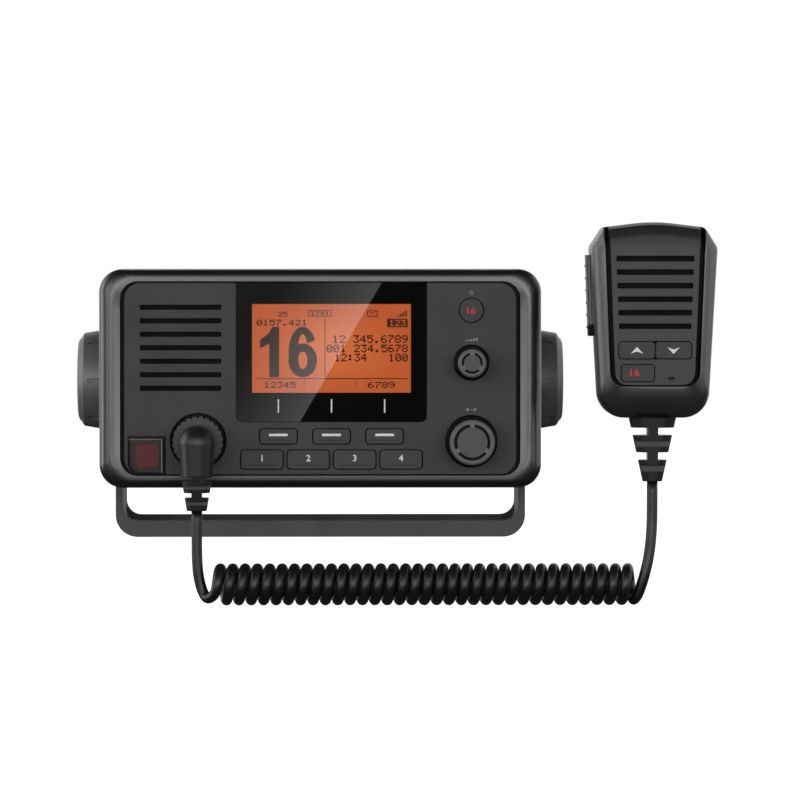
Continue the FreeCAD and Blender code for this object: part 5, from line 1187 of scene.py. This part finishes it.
# The dark lines across the keys are painted shade.
for index, x in enumerate(FUNCTION_KEYS_X, start=1):
    key = "function_key_%d" % index
    mark("figure_%d" % index, figures(str(index), x, KEY_FACE, FIGURE_Z, FIGURE_H, bold=0.02), key, white_ink)
    mark("key_crease_shade_%d" % index, crease(x, *FIGURE_CREASE), key)
for side, x in zip(("left", "middle", "right"), SOFT_KEYS_X):
    key = "soft_key_" + side
    mark("bar_" + side, plates_at("bar", x, KEY_FACE, BAR_Z, BAR_W, BAR_H, white_ink, corner=0.12), key)
    mark("bar_crease_shade_" + side, crease(x, *BAR_CREASE), key)
sixteen = figures("16", CONTROL_X, KEY_FACE, POWER_Z, POWER_H, wide=1.2, bold=0.03)
mark("power_figure", sixteen, "power_key", red_ink)

# %% [markdown]
# Over the power key stands the usual power mark, over the upper knob a volume wedge of growing bars, and over
# the lower knob an arrow to each side, because it turns both ways.

# %% Marks on the panel
PANEL_FACE = -65.6
POWER_MARK_Z, VOLUME_MARK_Z, SELECT_MARK_Z = 96.2, 77.6, 51.3
POWER_MARK_IN, POWER_MARK_OUT, POWER_MARK_START, POWER_MARK_STOP = 0.6, 0.8, 125, 415
power_mark = [band(CONTROL_X, POWER_MARK_Z, (POWER_MARK_IN,) * 2, (POWER_MARK_OUT,) * 2, POWER_MARK_START,
                   POWER_MARK_STOP),
              bar(CONTROL_X - 0.1, CONTROL_X + 0.1, POWER_MARK_Z - 0.1, POWER_MARK_Z + 0.9)]
volume_mark = [bar(CONTROL_X - 2.2 + k, CONTROL_X - 1.6 + k, VOLUME_MARK_Z, VOLUME_MARK_Z + 0.3 + 0.25 * k)
               for k in range(5)]
select_mark = [[(CONTROL_X + side * 2.2, SELECT_MARK_Z), (CONTROL_X + side, SELECT_MARK_Z - 0.7),
                (CONTROL_X + side, SELECT_MARK_Z + 0.7)] for side in (-1, 1)]
select_mark += [bar(CONTROL_X - 0.5, CONTROL_X + 0.5, SELECT_MARK_Z - 0.1, SELECT_MARK_Z + 0.1)]
finished("panel_marks", sign(power_mark + volume_mark + select_mark, PANEL_FACE, 0.04), grey_ink, "radio")
print("panel marks at x", CONTROL_X)

# %% [markdown]
# Three short bridges cross the sunken ring of each knob, and pale flat plates on them are painted glints. A
# thin cap closes the middle. Both lie on the knob's front and turn with it.

# %% Painted glints on the knobs' bridges, and caps
BRIDGE_TURNS, BRIDGE_HALF = (90, 210, 330), 5
CAP_SIDES, CAP_INSET = 48, 0.2
for name, (z, front, top_r, ring_in, ring_out) in KNOBS.items():
    bridges = [band(CONTROL_X, z, (ring_in + SLACK,) * 2, (ring_out - SLACK,) * 2, turn - BRIDGE_HALF,
                    turn + BRIDGE_HALF, 3) for turn in BRIDGE_TURNS]
    # The pale plates on the bridges are painted glints.
    finished(name + "_bridge_glints", sign(bridges, front, 0.05), bridge_glint_grey, name + "_knob")
    disc = [(CONTROL_X + (ring_in - CAP_INSET) * math.cos(turn), z + (ring_in - CAP_INSET) * math.sin(turn))
            for turn in (2 * math.pi * k / CAP_SIDES for k in range(CAP_SIDES))]
    finished(name + "_cap", sign([disc], front, 0.04), cap_black, name + "_knob")
print("bridges on each knob", len(BRIDGE_TURNS))

# %% [markdown]
# ## What the display shows
# A liquid crystal panel draws its small figures from square dots, five across and seven up. A font would
# look too smooth, so each figure is seven rows of bits, and a tree of nodes sets one dot on every point.

# %% Dot figures
dots = Recipe("dot_figures", Width=float, Height=float, Thick=float)
tab = dots.source
dot = dots.step("GeometryNodeMeshCube", dots.vector(tab["Width"], tab["Thick"], tab["Height"]))
dots.serve(tab["Geometry"], dot)
DOT_ROWS = {"0": (14, 17, 19, 21, 25, 17, 14), "1": (4, 12, 4, 4, 4, 4, 14), "2": (14, 17, 1, 2, 4, 8, 31),
            "3": (31, 2, 4, 2, 1, 17, 14), "4": (2, 6, 10, 18, 31, 2, 2), "5": (31, 16, 30, 1, 1, 17, 14),
            "6": (6, 8, 16, 30, 17, 17, 14), "7": (31, 1, 2, 4, 8, 8, 8), "8": (14, 17, 17, 14, 17, 17, 14),
            "9": (14, 17, 17, 15, 1, 2, 12), ".": (0, 0, 0, 0, 0, 12, 12), ":": (0, 12, 12, 0, 12, 12, 0),
            " ": (0,) * 7}
LCD_FACE = -63.2
INK = LCD_FACE - 0.02
DOTS_ACROSS, DOTS_UP = 5, 7
DOT_FILL, DOT_T = 1.2, 0.03


def dot_text(text, x0, x1, z0, z1, finish, y=INK):
    """Dot figures, one dot apart, that fill the place from x0 to x1 and from z0 to z1."""
    step = DOTS_ACROSS + 1
    across, up = (x1 - x0) / (step * len(text) - 1), (z1 - z0) / DOTS_UP
    points = [tuple(at(x0 + (step * place + DOTS_ACROSS - 0.5 - bit) * across, y, z1 - (row + 0.5) * up))
              for place, letter in enumerate(text) for row, bits in enumerate(DOT_ROWS[letter])
              for bit in range(DOTS_ACROSS) if bits >> bit & 1]
    return cooked(dots, "dots", finish, points, Width=across * DOT_FILL * MM, Height=up * DOT_FILL * MM,
                  Thick=DOT_T * MM)


print("dots in an eight", sum(bin(bits).count("1") for bits in DOT_ROWS["8"]))

# %% [markdown]
# The channel number is large and heavy. It is drawn as flat outlines: the one has a stem and a flag, and
# the six is a tall open band on a round bowl.

# %% The channel number
DIGIT_LOW, DIGIT_HIGH = 63.7, 83.1
SIX_X, BOWL_Z = -6.75, 70.2
digit_one = [(-19.6, DIGIT_LOW), (-15.8, DIGIT_LOW), (-15.8, DIGIT_HIGH), (-18.4, DIGIT_HIGH), (-19.9, 80.4),
             (-23.1, 78.2), (-23.1, 74.8), (-19.6, 76.6)]
six_back = band(SIX_X, (DIGIT_LOW + DIGIT_HIGH) / 2, (1.9, 6.9), (5.4, (DIGIT_HIGH - DIGIT_LOW) / 2), 28, 262)
six_bowl = [band(SIX_X, BOWL_Z, (1.8, 3.3), (5.5, BOWL_Z - DIGIT_LOW), start, start + 180)
            for start in (0, 180)]
print("channel number", round(DIGIT_HIGH - DIGIT_LOW, 1), "mm tall")

# %% [markdown]
# Thin lines part the fields of the display. At the top stand a small envelope and the growing bars of the
# signal. All lie in one plane, a hair thinner than the channel number, so that no two faces coincide.

# %% Lines and signs of the display
RULE = 0.32
FIELD_Z, SPLIT_X = 63.0, 1.6


def box_lines(x0, x1, z0, z1):
    """Four thin bars round a place."""
    return [bar(x0, x1, z0, z0 + RULE), bar(x0, x1, z1 - RULE, z1), bar(x0, x0 + RULE, z0 + RULE, z1 - RULE),
            bar(x1 - RULE, x1, z0 + RULE, z1 - RULE)]


lines = [bar(-24.6, 33.6, FIELD_Z, FIELD_Z + RULE), bar(SPLIT_X, SPLIT_X + RULE, 63.3, 86.3),
         bar(-6.3, -6.1, 59.4, 62.7), bar(13.6, 13.8, 59.4, 62.7), bar(25.7, 33.6, 82.9, 86.2)]
envelope = box_lines(18.0, 22.1, 86.9, 89.4) + [[(18.2, 89.2), (18.5, 89.2), (20.2, 88.2), (20.0, 87.9)],
                                                [(21.9, 89.2), (20.1, 87.9), (19.9, 88.2), (21.6, 89.2)]]
signal = [bar(29.6 + step, 30.2 + step, 87.0, 87.5 + 0.6 * step) for step in range(4)]
lcd_mesh = together("lcd_figures", sign([digit_one, six_back], INK, 0.03), sign(six_bowl, INK, 0.04),
                    sign(lines + envelope + signal + box_lines(-4.7, 4.4, 87.0, 89.5), INK, 0.02))
finished("lcd_figures", lcd_mesh, lcd_dark, "radio")
print("faces of the large figures", len(lcd_mesh.polygons))

# %% [markdown]
# The small figures are plain numbers. One of them stands light on a dark field, which is the display's own
# amber again, a little in front of the dark plate.

# %% Small figures of the display
# Each text with its left, its right, its foot and its top.
SMALL_TEXTS = (("12 345.6789", 4.7, 33.6, 76.9, 79.8), ("001 234.5678", 2.4, 33.6, 73.3, 76.2),
               ("12:34", 5.5, 17.8, 69.8, 72.7), ("100", 26.3, 33.6, 69.8, 72.7),
               ("0157.421", -24.4, -5.1, 83.6, 85.8), ("25", -16.2, -12.6, 87.0, 88.8),
               ("1741", -3.7, 3.4, 87.5, 89.0), ("12345", -21.6, -9.4, 59.6, 61.9),
               ("6789", 18.3, 28.7, 59.6, 61.9))
small_mesh = together("lcd_small_figures", *(dot_text(*row, lcd_small) for row in SMALL_TEXTS))
finished("lcd_small_figures", small_mesh, lcd_small, "radio")
light_mesh = dot_text("123", 26.5, 32.8, 83.4, 85.7, lcd_amber, INK - 0.05)
finished("lcd_light_figures", light_mesh, lcd_amber, "radio")
print("faces of the small figures", len(small_mesh.polygons))

# %% [markdown]
# The microphone's keys carry an arrow up, an arrow down and the channel number. Two thin dark strips run
# down the front of the press-to-talk bar, beside its ribs, and lean with it.

# %% Marks on the microphone
MIC_KEY_FACE, BAR_FACE = -105.5, -94.0
BAR_LEAN = CAD_LEAN - BAR_INSET / BAR_LENGTH
STRIP_W, STRIP_STARTS = 0.25, (0.15, 1.2)
arrow_up = [(116.9, 73.6), (119.3, 74.5), (121.7, 73.6), (119.3, 76.2)]
arrow_down = [(130.7, 76.1), (133.1, 73.5), (135.5, 76.1), (133.1, 75.2)]
mark("arrow_up", sign([arrow_up], MIC_KEY_FACE), "mic_up_key", white_ink)
mark("arrow_down", sign([arrow_down], MIC_KEY_FACE), "mic_down_key", white_ink)
sixteen = figures("16", MIC_X - 7.7, MIC_KEY_FACE, 66.5, 2.8, wide=1.2, bold=0.03)
mark("channel_figure", sixteen, "mic_channel_key", red_ink)


def along_bar(start, width, top, foot):
    """Outline of a strip that follows the leaning press-to-talk bar."""
    corners = ((start, top), (start + width, top), (start + width, foot), (start, foot))
    return [(BAR_TOP_X + BAR_INSET + x + (BAR_TOP_Z - z) * BAR_LEAN, z) for x, z in corners]


strips = [along_bar(start, STRIP_W, BAR_TOP_Z - 0.3, BAR_DARK_Z) for start in STRIP_STARTS]
finished("bar_strips", sign(strips, BAR_FACE, 0.03), near_black, "ptt_bar")
print("strips lean by", round(math.degrees(math.atan(BAR_LEAN)), 2), "degrees")

# %% [markdown]
# ## Screws
# Eight small screws hold the two cases. They are all alike: a pan head with a cross recess and a shank. One
# tree cuts the recess with a mesh boolean and sets the screw on every given place.

# %% Screw recipe
HEAD_SIDES, SHANK_SIDES, CROSS_REACH = 32, 20, 1.1
screws = Recipe("cross_head_screws", Head=float, Height=float, Shank=float, Length=float, Slot=float)
tab = screws.source


def rod(radius, depth, sides):
    """Closed cylinder of the screw recipe, about its own middle."""
    return screws.step("GeometryNodeMeshCylinder", settings={"fill_type": "NGON"}, Vertices=sides,
                       Radius=radius, Depth=depth)


cut = screws.tree.nodes.new("GeometryNodeMeshBoolean")
cut.operation = "DIFFERENCE"
screws.tree.links.new(rod(tab["Head"], tab["Height"], HEAD_SIDES), cut.inputs["Mesh 1"])
reach = screws.reckon("MULTIPLY", tab["Head"], CROSS_REACH)
raise_by = screws.vector(0.0, 0.0, screws.reckon("MULTIPLY", tab["Height"], 0.5))
for wide, deep in ((reach, tab["Slot"]), (tab["Slot"], reach)):
    arm = screws.step("GeometryNodeMeshCube", screws.vector(wide, deep, tab["Height"]))
    arm = screws.step("GeometryNodeTransform", arm, Translation=raise_by)
    screws.tree.links.new(arm, cut.inputs["Mesh 2"])
below = screws.reckon("MULTIPLY", screws.reckon("ADD", tab["Length"], tab["Height"]), -0.5)
shank = screws.step("GeometryNodeTransform", rod(tab["Shank"], tab["Length"], SHANK_SIDES),
                    Translation=screws.vector(0.0, 0.0, below))
whole = screws.join(cut.outputs[0], shank)
turned = screws.step("GeometryNodeTransform", whole, Rotation=(-math.pi / 2, 0.0, 0.0))
screws.serve(tab["Geometry"], turned)
print("inputs", [item.name for item in screws.tree.interface.items_tree])

# %% [markdown]
# The screws stand where the CAD has them. Their places are worked out from the corners of the CAD node, a
# head's radius inside them, so that they stay right if the housing grows. Only the two pairs in the
# microphone have their own distance from its middle, because the lower pair stands closer together.

# %% The two sets of screws
CASE_HEAD, MIC_HEAD, SCREW_ROUND = 2.9, 2.5, 0.08
MIC_LOW_X, MIC_HIGH_X = 11.0, 11.5


def screws_at(name, node, places, head, height, shank, length, slot):
    """Screws whose heads end at the back of a CAD node, which they stand for."""
    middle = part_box(node)[1].y / MM - height / 2
    mesh = cooked(screws, name, steel, [tuple(at(x, middle, z)) for x, z in places], Head=head * MM,
                  Height=height * MM, Shank=shank * MM, Length=length * MM, Slot=slot * MM)
    piece = finished(name, rounded(mesh, name, SCREW_ROUND), steel, body_of(node))
    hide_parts(node)
    return piece


low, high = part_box("case_screws")
reach_x, reach_z = high.x / MM - CASE_HEAD, (high.z - low.z) / MM / 2 - CASE_HEAD
middle_z = (high.z + low.z) / MM / 2
case_places = [(side * reach_x, middle_z + end * reach_z) for side in (-1, 1) for end in (-1, 1)]
case_set = screws_at("case_screw_set", "case_screws", case_places, CASE_HEAD, height=2.2, shank=1.45,
                     length=16.0, slot=0.8)
low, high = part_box("mic_screws")
rows = ((MIC_LOW_X, low.z / MM + MIC_HEAD), (MIC_HIGH_X, high.z / MM - MIC_HEAD))
mic_places = [(MIC_X + side * x, z) for side in (-1, 1) for x, z in rows]
mic_set = screws_at("mic_screw_set", "mic_screws", mic_places, MIC_HEAD, height=1.8, shank=1.2, length=20.0,
                    slot=0.7)
print("case screws", extent(case_set), "microphone's screws", extent(mic_set))

# %% [markdown]
# ## Finishes for the CAD nodes that stay
# What is inside, or is right as it is, keeps its CAD mesh and only gets its finish, found by the record's
# slot name. A few small parts that can be seen get the rounding too.

# %% Finish every remaining node
by_slot = {**finishes, "window": window_black, "lcd": lcd_amber}
for name, node in frame["nodes"].items():
    node.data.materials.clear()
    node.data.materials.append(by_slot[slot_of(name)])
for name, finish, edge in (("antenna_socket", nickel, 0.15), ("rear_inlets", case_black, 0.2),
                           ("distress_hinge_pin", blued_steel, 0.05), ("mic_hanger", powder_black, 0.25),
                           ("mic_hang_button", steel, 0.2), ("distress_door", red_cover, 0.15),
                           ("distress_key", red_key, 0.2), ("case_gasket", soft_rubber, 0.1),
                           ("friction_washers", washer_nylon, 0.15)):
    dressed(name, finish, edge)
print("nodes still shown", sorted(name for name, node in frame["nodes"].items() if not node.hide_render))

# %% [markdown]
# The rim of the red cover catches the light as a pale glint along two sides; that glint is painted here.
# Where its margin lies close over the dark panel, the gap's shade shows as a dark outline, painted too. Both
# could be shapes of their own, but they are too thin for that: flat signs on the cover's front follow its
# corners and swing with it.

# %% Painted glint and shade on the red cover's rim
COVER_ROUND, RIM_INNER, RIM_OUTER, RIM_TOP = 4.6, 1.35, 0.95, 0.7
MARGIN_OUTER, MARGIN_INNER, MARGIN_TOP, MARGIN_FOOT = 0.1, 0.6, 1.6, 0.45
low, high = (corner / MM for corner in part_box("distress_door"))


def cover_corner(inset):
    """The cover's round lower left corner, this far inside its outline."""
    return corner_points(low.x + COVER_ROUND, low.z + COVER_ROUND, COVER_ROUND - inset, 180)


# The pale bars are a painted glint.
glints = [bar(high.x - RIM_INNER, high.x - RIM_OUTER, low.z + 0.5, high.z - RIM_TOP),
          bar(low.x + 0.3, high.x - RIM_INNER, high.z - 1.0, high.z - RIM_TOP)]
finished("cover_rim_glint", sign(glints, low.y, 0.03), cover_glint, "distress_door")
# The dark margin is painted shade of the gap beside the cover.
margin_shade_outline = [(low.x + MARGIN_OUTER, high.z - MARGIN_TOP), *cover_corner(MARGIN_OUTER),
          (high.x - MARGIN_OUTER, low.z + MARGIN_OUTER), (high.x - MARGIN_OUTER, high.z - RIM_TOP),
          (high.x - RIM_OUTER, high.z - RIM_TOP), (high.x - RIM_OUTER, low.z + MARGIN_FOOT),
          *reversed(cover_corner(MARGIN_INNER)), (low.x + MARGIN_INNER, high.z - MARGIN_TOP)]
finished("cover_margin_shade", sign([margin_shade_outline], low.y, 0.03), near_black, "distress_door")
print("red cover from", [round(c, 1) for c in low], "to", [round(c, 1) for c in high])

# %% [markdown]
# ## The cord as two pieces
# Now the cord gets its finish: each half becomes a tube of the cord's rubber, and the CAD leads and the
# coil are hidden behind it.

# %% The cord
PLUG_BLEND_X, MIC_BLEND_X = 5, 75
for name, line, bodies, start, end, node, out in (
        ("cord_plug_half", plug_half, ("radio", "bracket"), plug_half[0], at(PLUG_BLEND_X, CORD_Y, COIL_Z),
         "cord_lead_radio", radio_lead[0]),
        ("cord_mic_half", mic_half, ("bracket", "mic"), at(MIC_BLEND_X, CORD_Y, COIL_Z), mic_half[-1],
         "cord_lead_mic", mic_lead[-1])):
    piece = finished(name, tube(line, CORD_D / 2 * MM, CORD_SIDES), cord_rubber)
    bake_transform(piece)
    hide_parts(node, "cord_coil")
    print(name, round(line_length(line), 3), "m")

# %% [markdown]
# ## The studio
# Black plastic shows little of its own colour and much of what it reflects, so the room is part of the
# finish. The world is dim for the object and plain white for the eye and for reflections, which Light Path
# tells apart. White paper all round would do the same, but it would light the object too much.

# %% The world
AMBIENT = 0.45
WHITE = (1, 1, 1, 1)


def white_for_eyes(tree):
    """1 where a camera, glossy or transmission ray looks, 0 for other rays."""
    ray = add(tree, "LightPath").outputs
    first = reckon(tree, "MAXIMUM", ray["Is Camera Ray"], ray["Is Glossy Ray"])
    return reckon(tree, "MAXIMUM", first, ray["Is Transmission Ray"])


world = bpy.data.worlds.new("studio")
bpy.context.scene.world = world
world.use_nodes = True
tree = world.node_tree
tree.nodes.clear()
dim = feed(tree, add(tree, "Background"), Color=WHITE, Strength=AMBIENT)
white = feed(tree, add(tree, "Background"), Color=WHITE, Strength=1.0)
seen_world = mixed(tree, white_for_eyes(tree), dim.outputs[0], white.outputs[0])
tree.links.new(seen_world, add(tree, "OutputWorld").inputs["Surface"])
print("ambient light", AMBIENT)

# %% [markdown]
# The floor is pale and matt, and it keeps the object's shadow. Lamps alone would leave it grey, and stronger
# lamps would burn out the object, so it also gives off some light of its own, which only the camera sees.

# %% The floor
FLOOR_Z, FLOOR_GLOW = -0.25, 0.8


def card(name, corners, finish, seen=True):
    """Flat sheet of the studio, through corners in metres."""
    mesh = bpy.data.meshes.new(name)
    mesh.from_pydata([Vector(corner) for corner in corners], [], [tuple(range(len(corners)))])
    mesh.materials.append(finish)
    sheet = placed(name, mesh)
    sheet.visible_camera = seen
    return sheet


pale, tree, skin = blank("pale_floor")
feed(tree, skin, Base_Color=(0.85, 0.85, 0.85, 1), Roughness=0.9, Specular_IOR_Level=0.1)
glow = feed(tree, add(tree, "Emission"), Strength=FLOOR_GLOW)
both = in_order(tree, add(tree, "AddShader"), skin.outputs[0], glow.outputs[0])
seen_floor = mixed(tree, add(tree, "LightPath").outputs["Is Camera Ray"], skin.outputs[0], both)
tree.links.new(seen_floor, tree.nodes["Material Output"].inputs["Surface"])
card("floor", ((-6, -6, FLOOR_Z), (6, -6, FLOOR_Z), (6, 8, FLOOR_Z), (-6, 8, FLOOR_Z)), pale)
print("floor at", FLOOR_Z, "m")

# %% [markdown]
# Round the object stand papers that the camera doesn't see and that glow evenly: paler in front, darker at
# the sides and above. What the black faces mirror is then a calm grey instead of the white world. The low
# card darkens everything that looks down, and casts no shadow, so that the floor keeps its light.

# %% The room
FRONT, LEFT, RIGHT, ROOF = -2.6, -1.7, 1.9, 1.9
SIDE_END, ROOF_END, LOW, LOW_END, LOW_WIDER, WALL_FOOT = 0.2, 2.2, -0.245, 1.2, 0.5, -0.1


def glowing_paper(name, level):
    """Studio paper that gives the same light in every direction; level is a number, or makes a socket."""
    paper, tree, skin = blank(name)
    feed(tree, skin, Base_Color=(0.02, 0.02, 0.02, 1), Roughness=0.9, Specular_IOR_Level=0.0,
         Emission_Color=WHITE, Emission_Strength=level(tree) if callable(level) else level)
    return paper


front_paper, side_paper = glowing_paper("front_paper", 0.38), glowing_paper("side_paper", 0.15)
dark_paper = glowing_paper("dark_paper", 0.03)
for name, foot, top, paper in (("front_wall", WALL_FOOT, ROOF, front_paper),
                               ("front_skirt", LOW, WALL_FOOT, dark_paper)):
    card(name, ((LEFT, FRONT, foot), (RIGHT, FRONT, foot), (RIGHT, FRONT, top), (LEFT, FRONT, top)), paper,
         False)
for name, x in (("left_wall", LEFT), ("right_wall", RIGHT)):
    card(name, ((x, FRONT, LOW), (x, SIDE_END, LOW), (x, SIDE_END, ROOF), (x, FRONT, ROOF)), side_paper,
         False)
card("roof", ((LEFT, FRONT, ROOF), (RIGHT, FRONT, ROOF), (RIGHT, ROOF_END, ROOF), (LEFT, ROOF_END, ROOF)),
     dark_paper, False)
low_left, low_right = LEFT - LOW_WIDER, RIGHT + LOW_WIDER
low_card = card("low_card", ((low_left, FRONT, LOW), (low_right, FRONT, LOW), (low_right, LOW_END, LOW),
                             (low_left, LOW_END, LOW)), dark_paper, False)
low_card.visible_shadow = False
print("room from", LEFT, "to", RIGHT, "m")

# %% [markdown]
# The glossy window mirrors one spot of the room. A slanting dark card covers most of it, and beside it hangs
# a card that fades from dim to bright towards the slant. Together they draw the diagonal glare across the
# window: a sharp edge on one side and a soft fade on the other.

# %% Two cards for the window
CARD_Y, CARD_LEFT, CARD_RIGHT = -2.45, -0.08, 0.13
GLARE_LEFT, GLARE_LOW, GLARE_HIGH, GLARE_BEND = -0.09, 0.22, 1.5, 1.6
PAST_ENDS = 0.7
slant_low, slant_high = Vector((-0.0186, CARD_Y, -0.0349)), Vector((0.0492, CARD_Y, 0.0802))
slope = (slant_high - slant_low) * PAST_ENDS
low, high = slant_low - slope, slant_high + slope
lean = (slant_high.x - slant_low.x) / (slant_high.z - slant_low.z)
slant_x = slant_low.x - lean * slant_low.z


def glare(tree):
    """Light that grows towards the slant, from low to high."""
    away = add(tree, "VectorMath", operation="DOT_PRODUCT")
    in_order(tree, away, add(tree, "TexCoord").outputs["Object"], (1, 0, -lean))
    fade = feed(tree, add(tree, "MapRange"), Value=away.outputs["Value"], From_Min=slant_x + GLARE_LEFT,
                From_Max=slant_x)
    bent = reckon(tree, "POWER", fade.outputs[0], GLARE_BEND)
    return reckon(tree, "MULTIPLY_ADD", bent, GLARE_HIGH - GLARE_LOW, GLARE_LOW)


card("window_card", (low, (CARD_RIGHT, CARD_Y, low.z), (CARD_RIGHT, CARD_Y, high.z), high), dark_paper, False)
card("fading_card", (low, high, (CARD_LEFT, CARD_Y, high.z), (CARD_LEFT, CARD_Y, low.z)),
     glowing_paper("fading_paper", glare), False)
print("slant leans", round(math.degrees(math.atan(lean))), "degrees from upright")

# %% [markdown]
# Two large soft boxes in front give the plain light. The lamps at the sides only draw the long edges of the
# housing, the bracket and the microphone, so they are weaker. One strip above lights the tops.

# %% Lamps
LAMPS = (("box_left", (-0.61, -2.3, 0.3), (0, 0, 0.05), (1.0, 0.8), 10),
         ("box_right", (0.62, -2.3, 0.3), (0.05, 0, 0.05), (1.0, 0.8), 11),
         ("side_left", (-1.45, -1.5, 0.35), (0.05, 0, 0.08), (0.7, 1.1), 6),
         ("side_right", (1.6, -1.45, 0.35), (0.05, 0, 0.08), (0.7, 1.1), 4),
         ("strip_left", (-1.4, -0.1, 0.3), (0, -0.07, 0.05), (0.6, 1.2), 7),
         ("strip_right", (1.5, -0.2, 0.3), (0.1, -0.1, 0.05), (0.6, 1.2), 3),
         ("box_top", (0.2, -2.2, 1.3), (0.03, 0, 0.05), (1.6, 0.4), 2))
for name, place, target, (width, height), power in LAMPS:
    light = bpy.data.lights.new(name, "AREA")
    light.shape = "RECTANGLE"
    light.size, light.size_y = width, height
    light.energy = power
    lamp = placed(name, light)
    lamp.location = place
    lamp.rotation_euler = (Vector(target) - Vector(place)).to_track_quat("-Z", "Y").to_euler()
    lamp.visible_camera = False
bpy.context.scene.view_settings.view_transform = "Standard"
print("lamps", len(LAMPS), "with", sum(row[-1] for row in LAMPS), "W together")
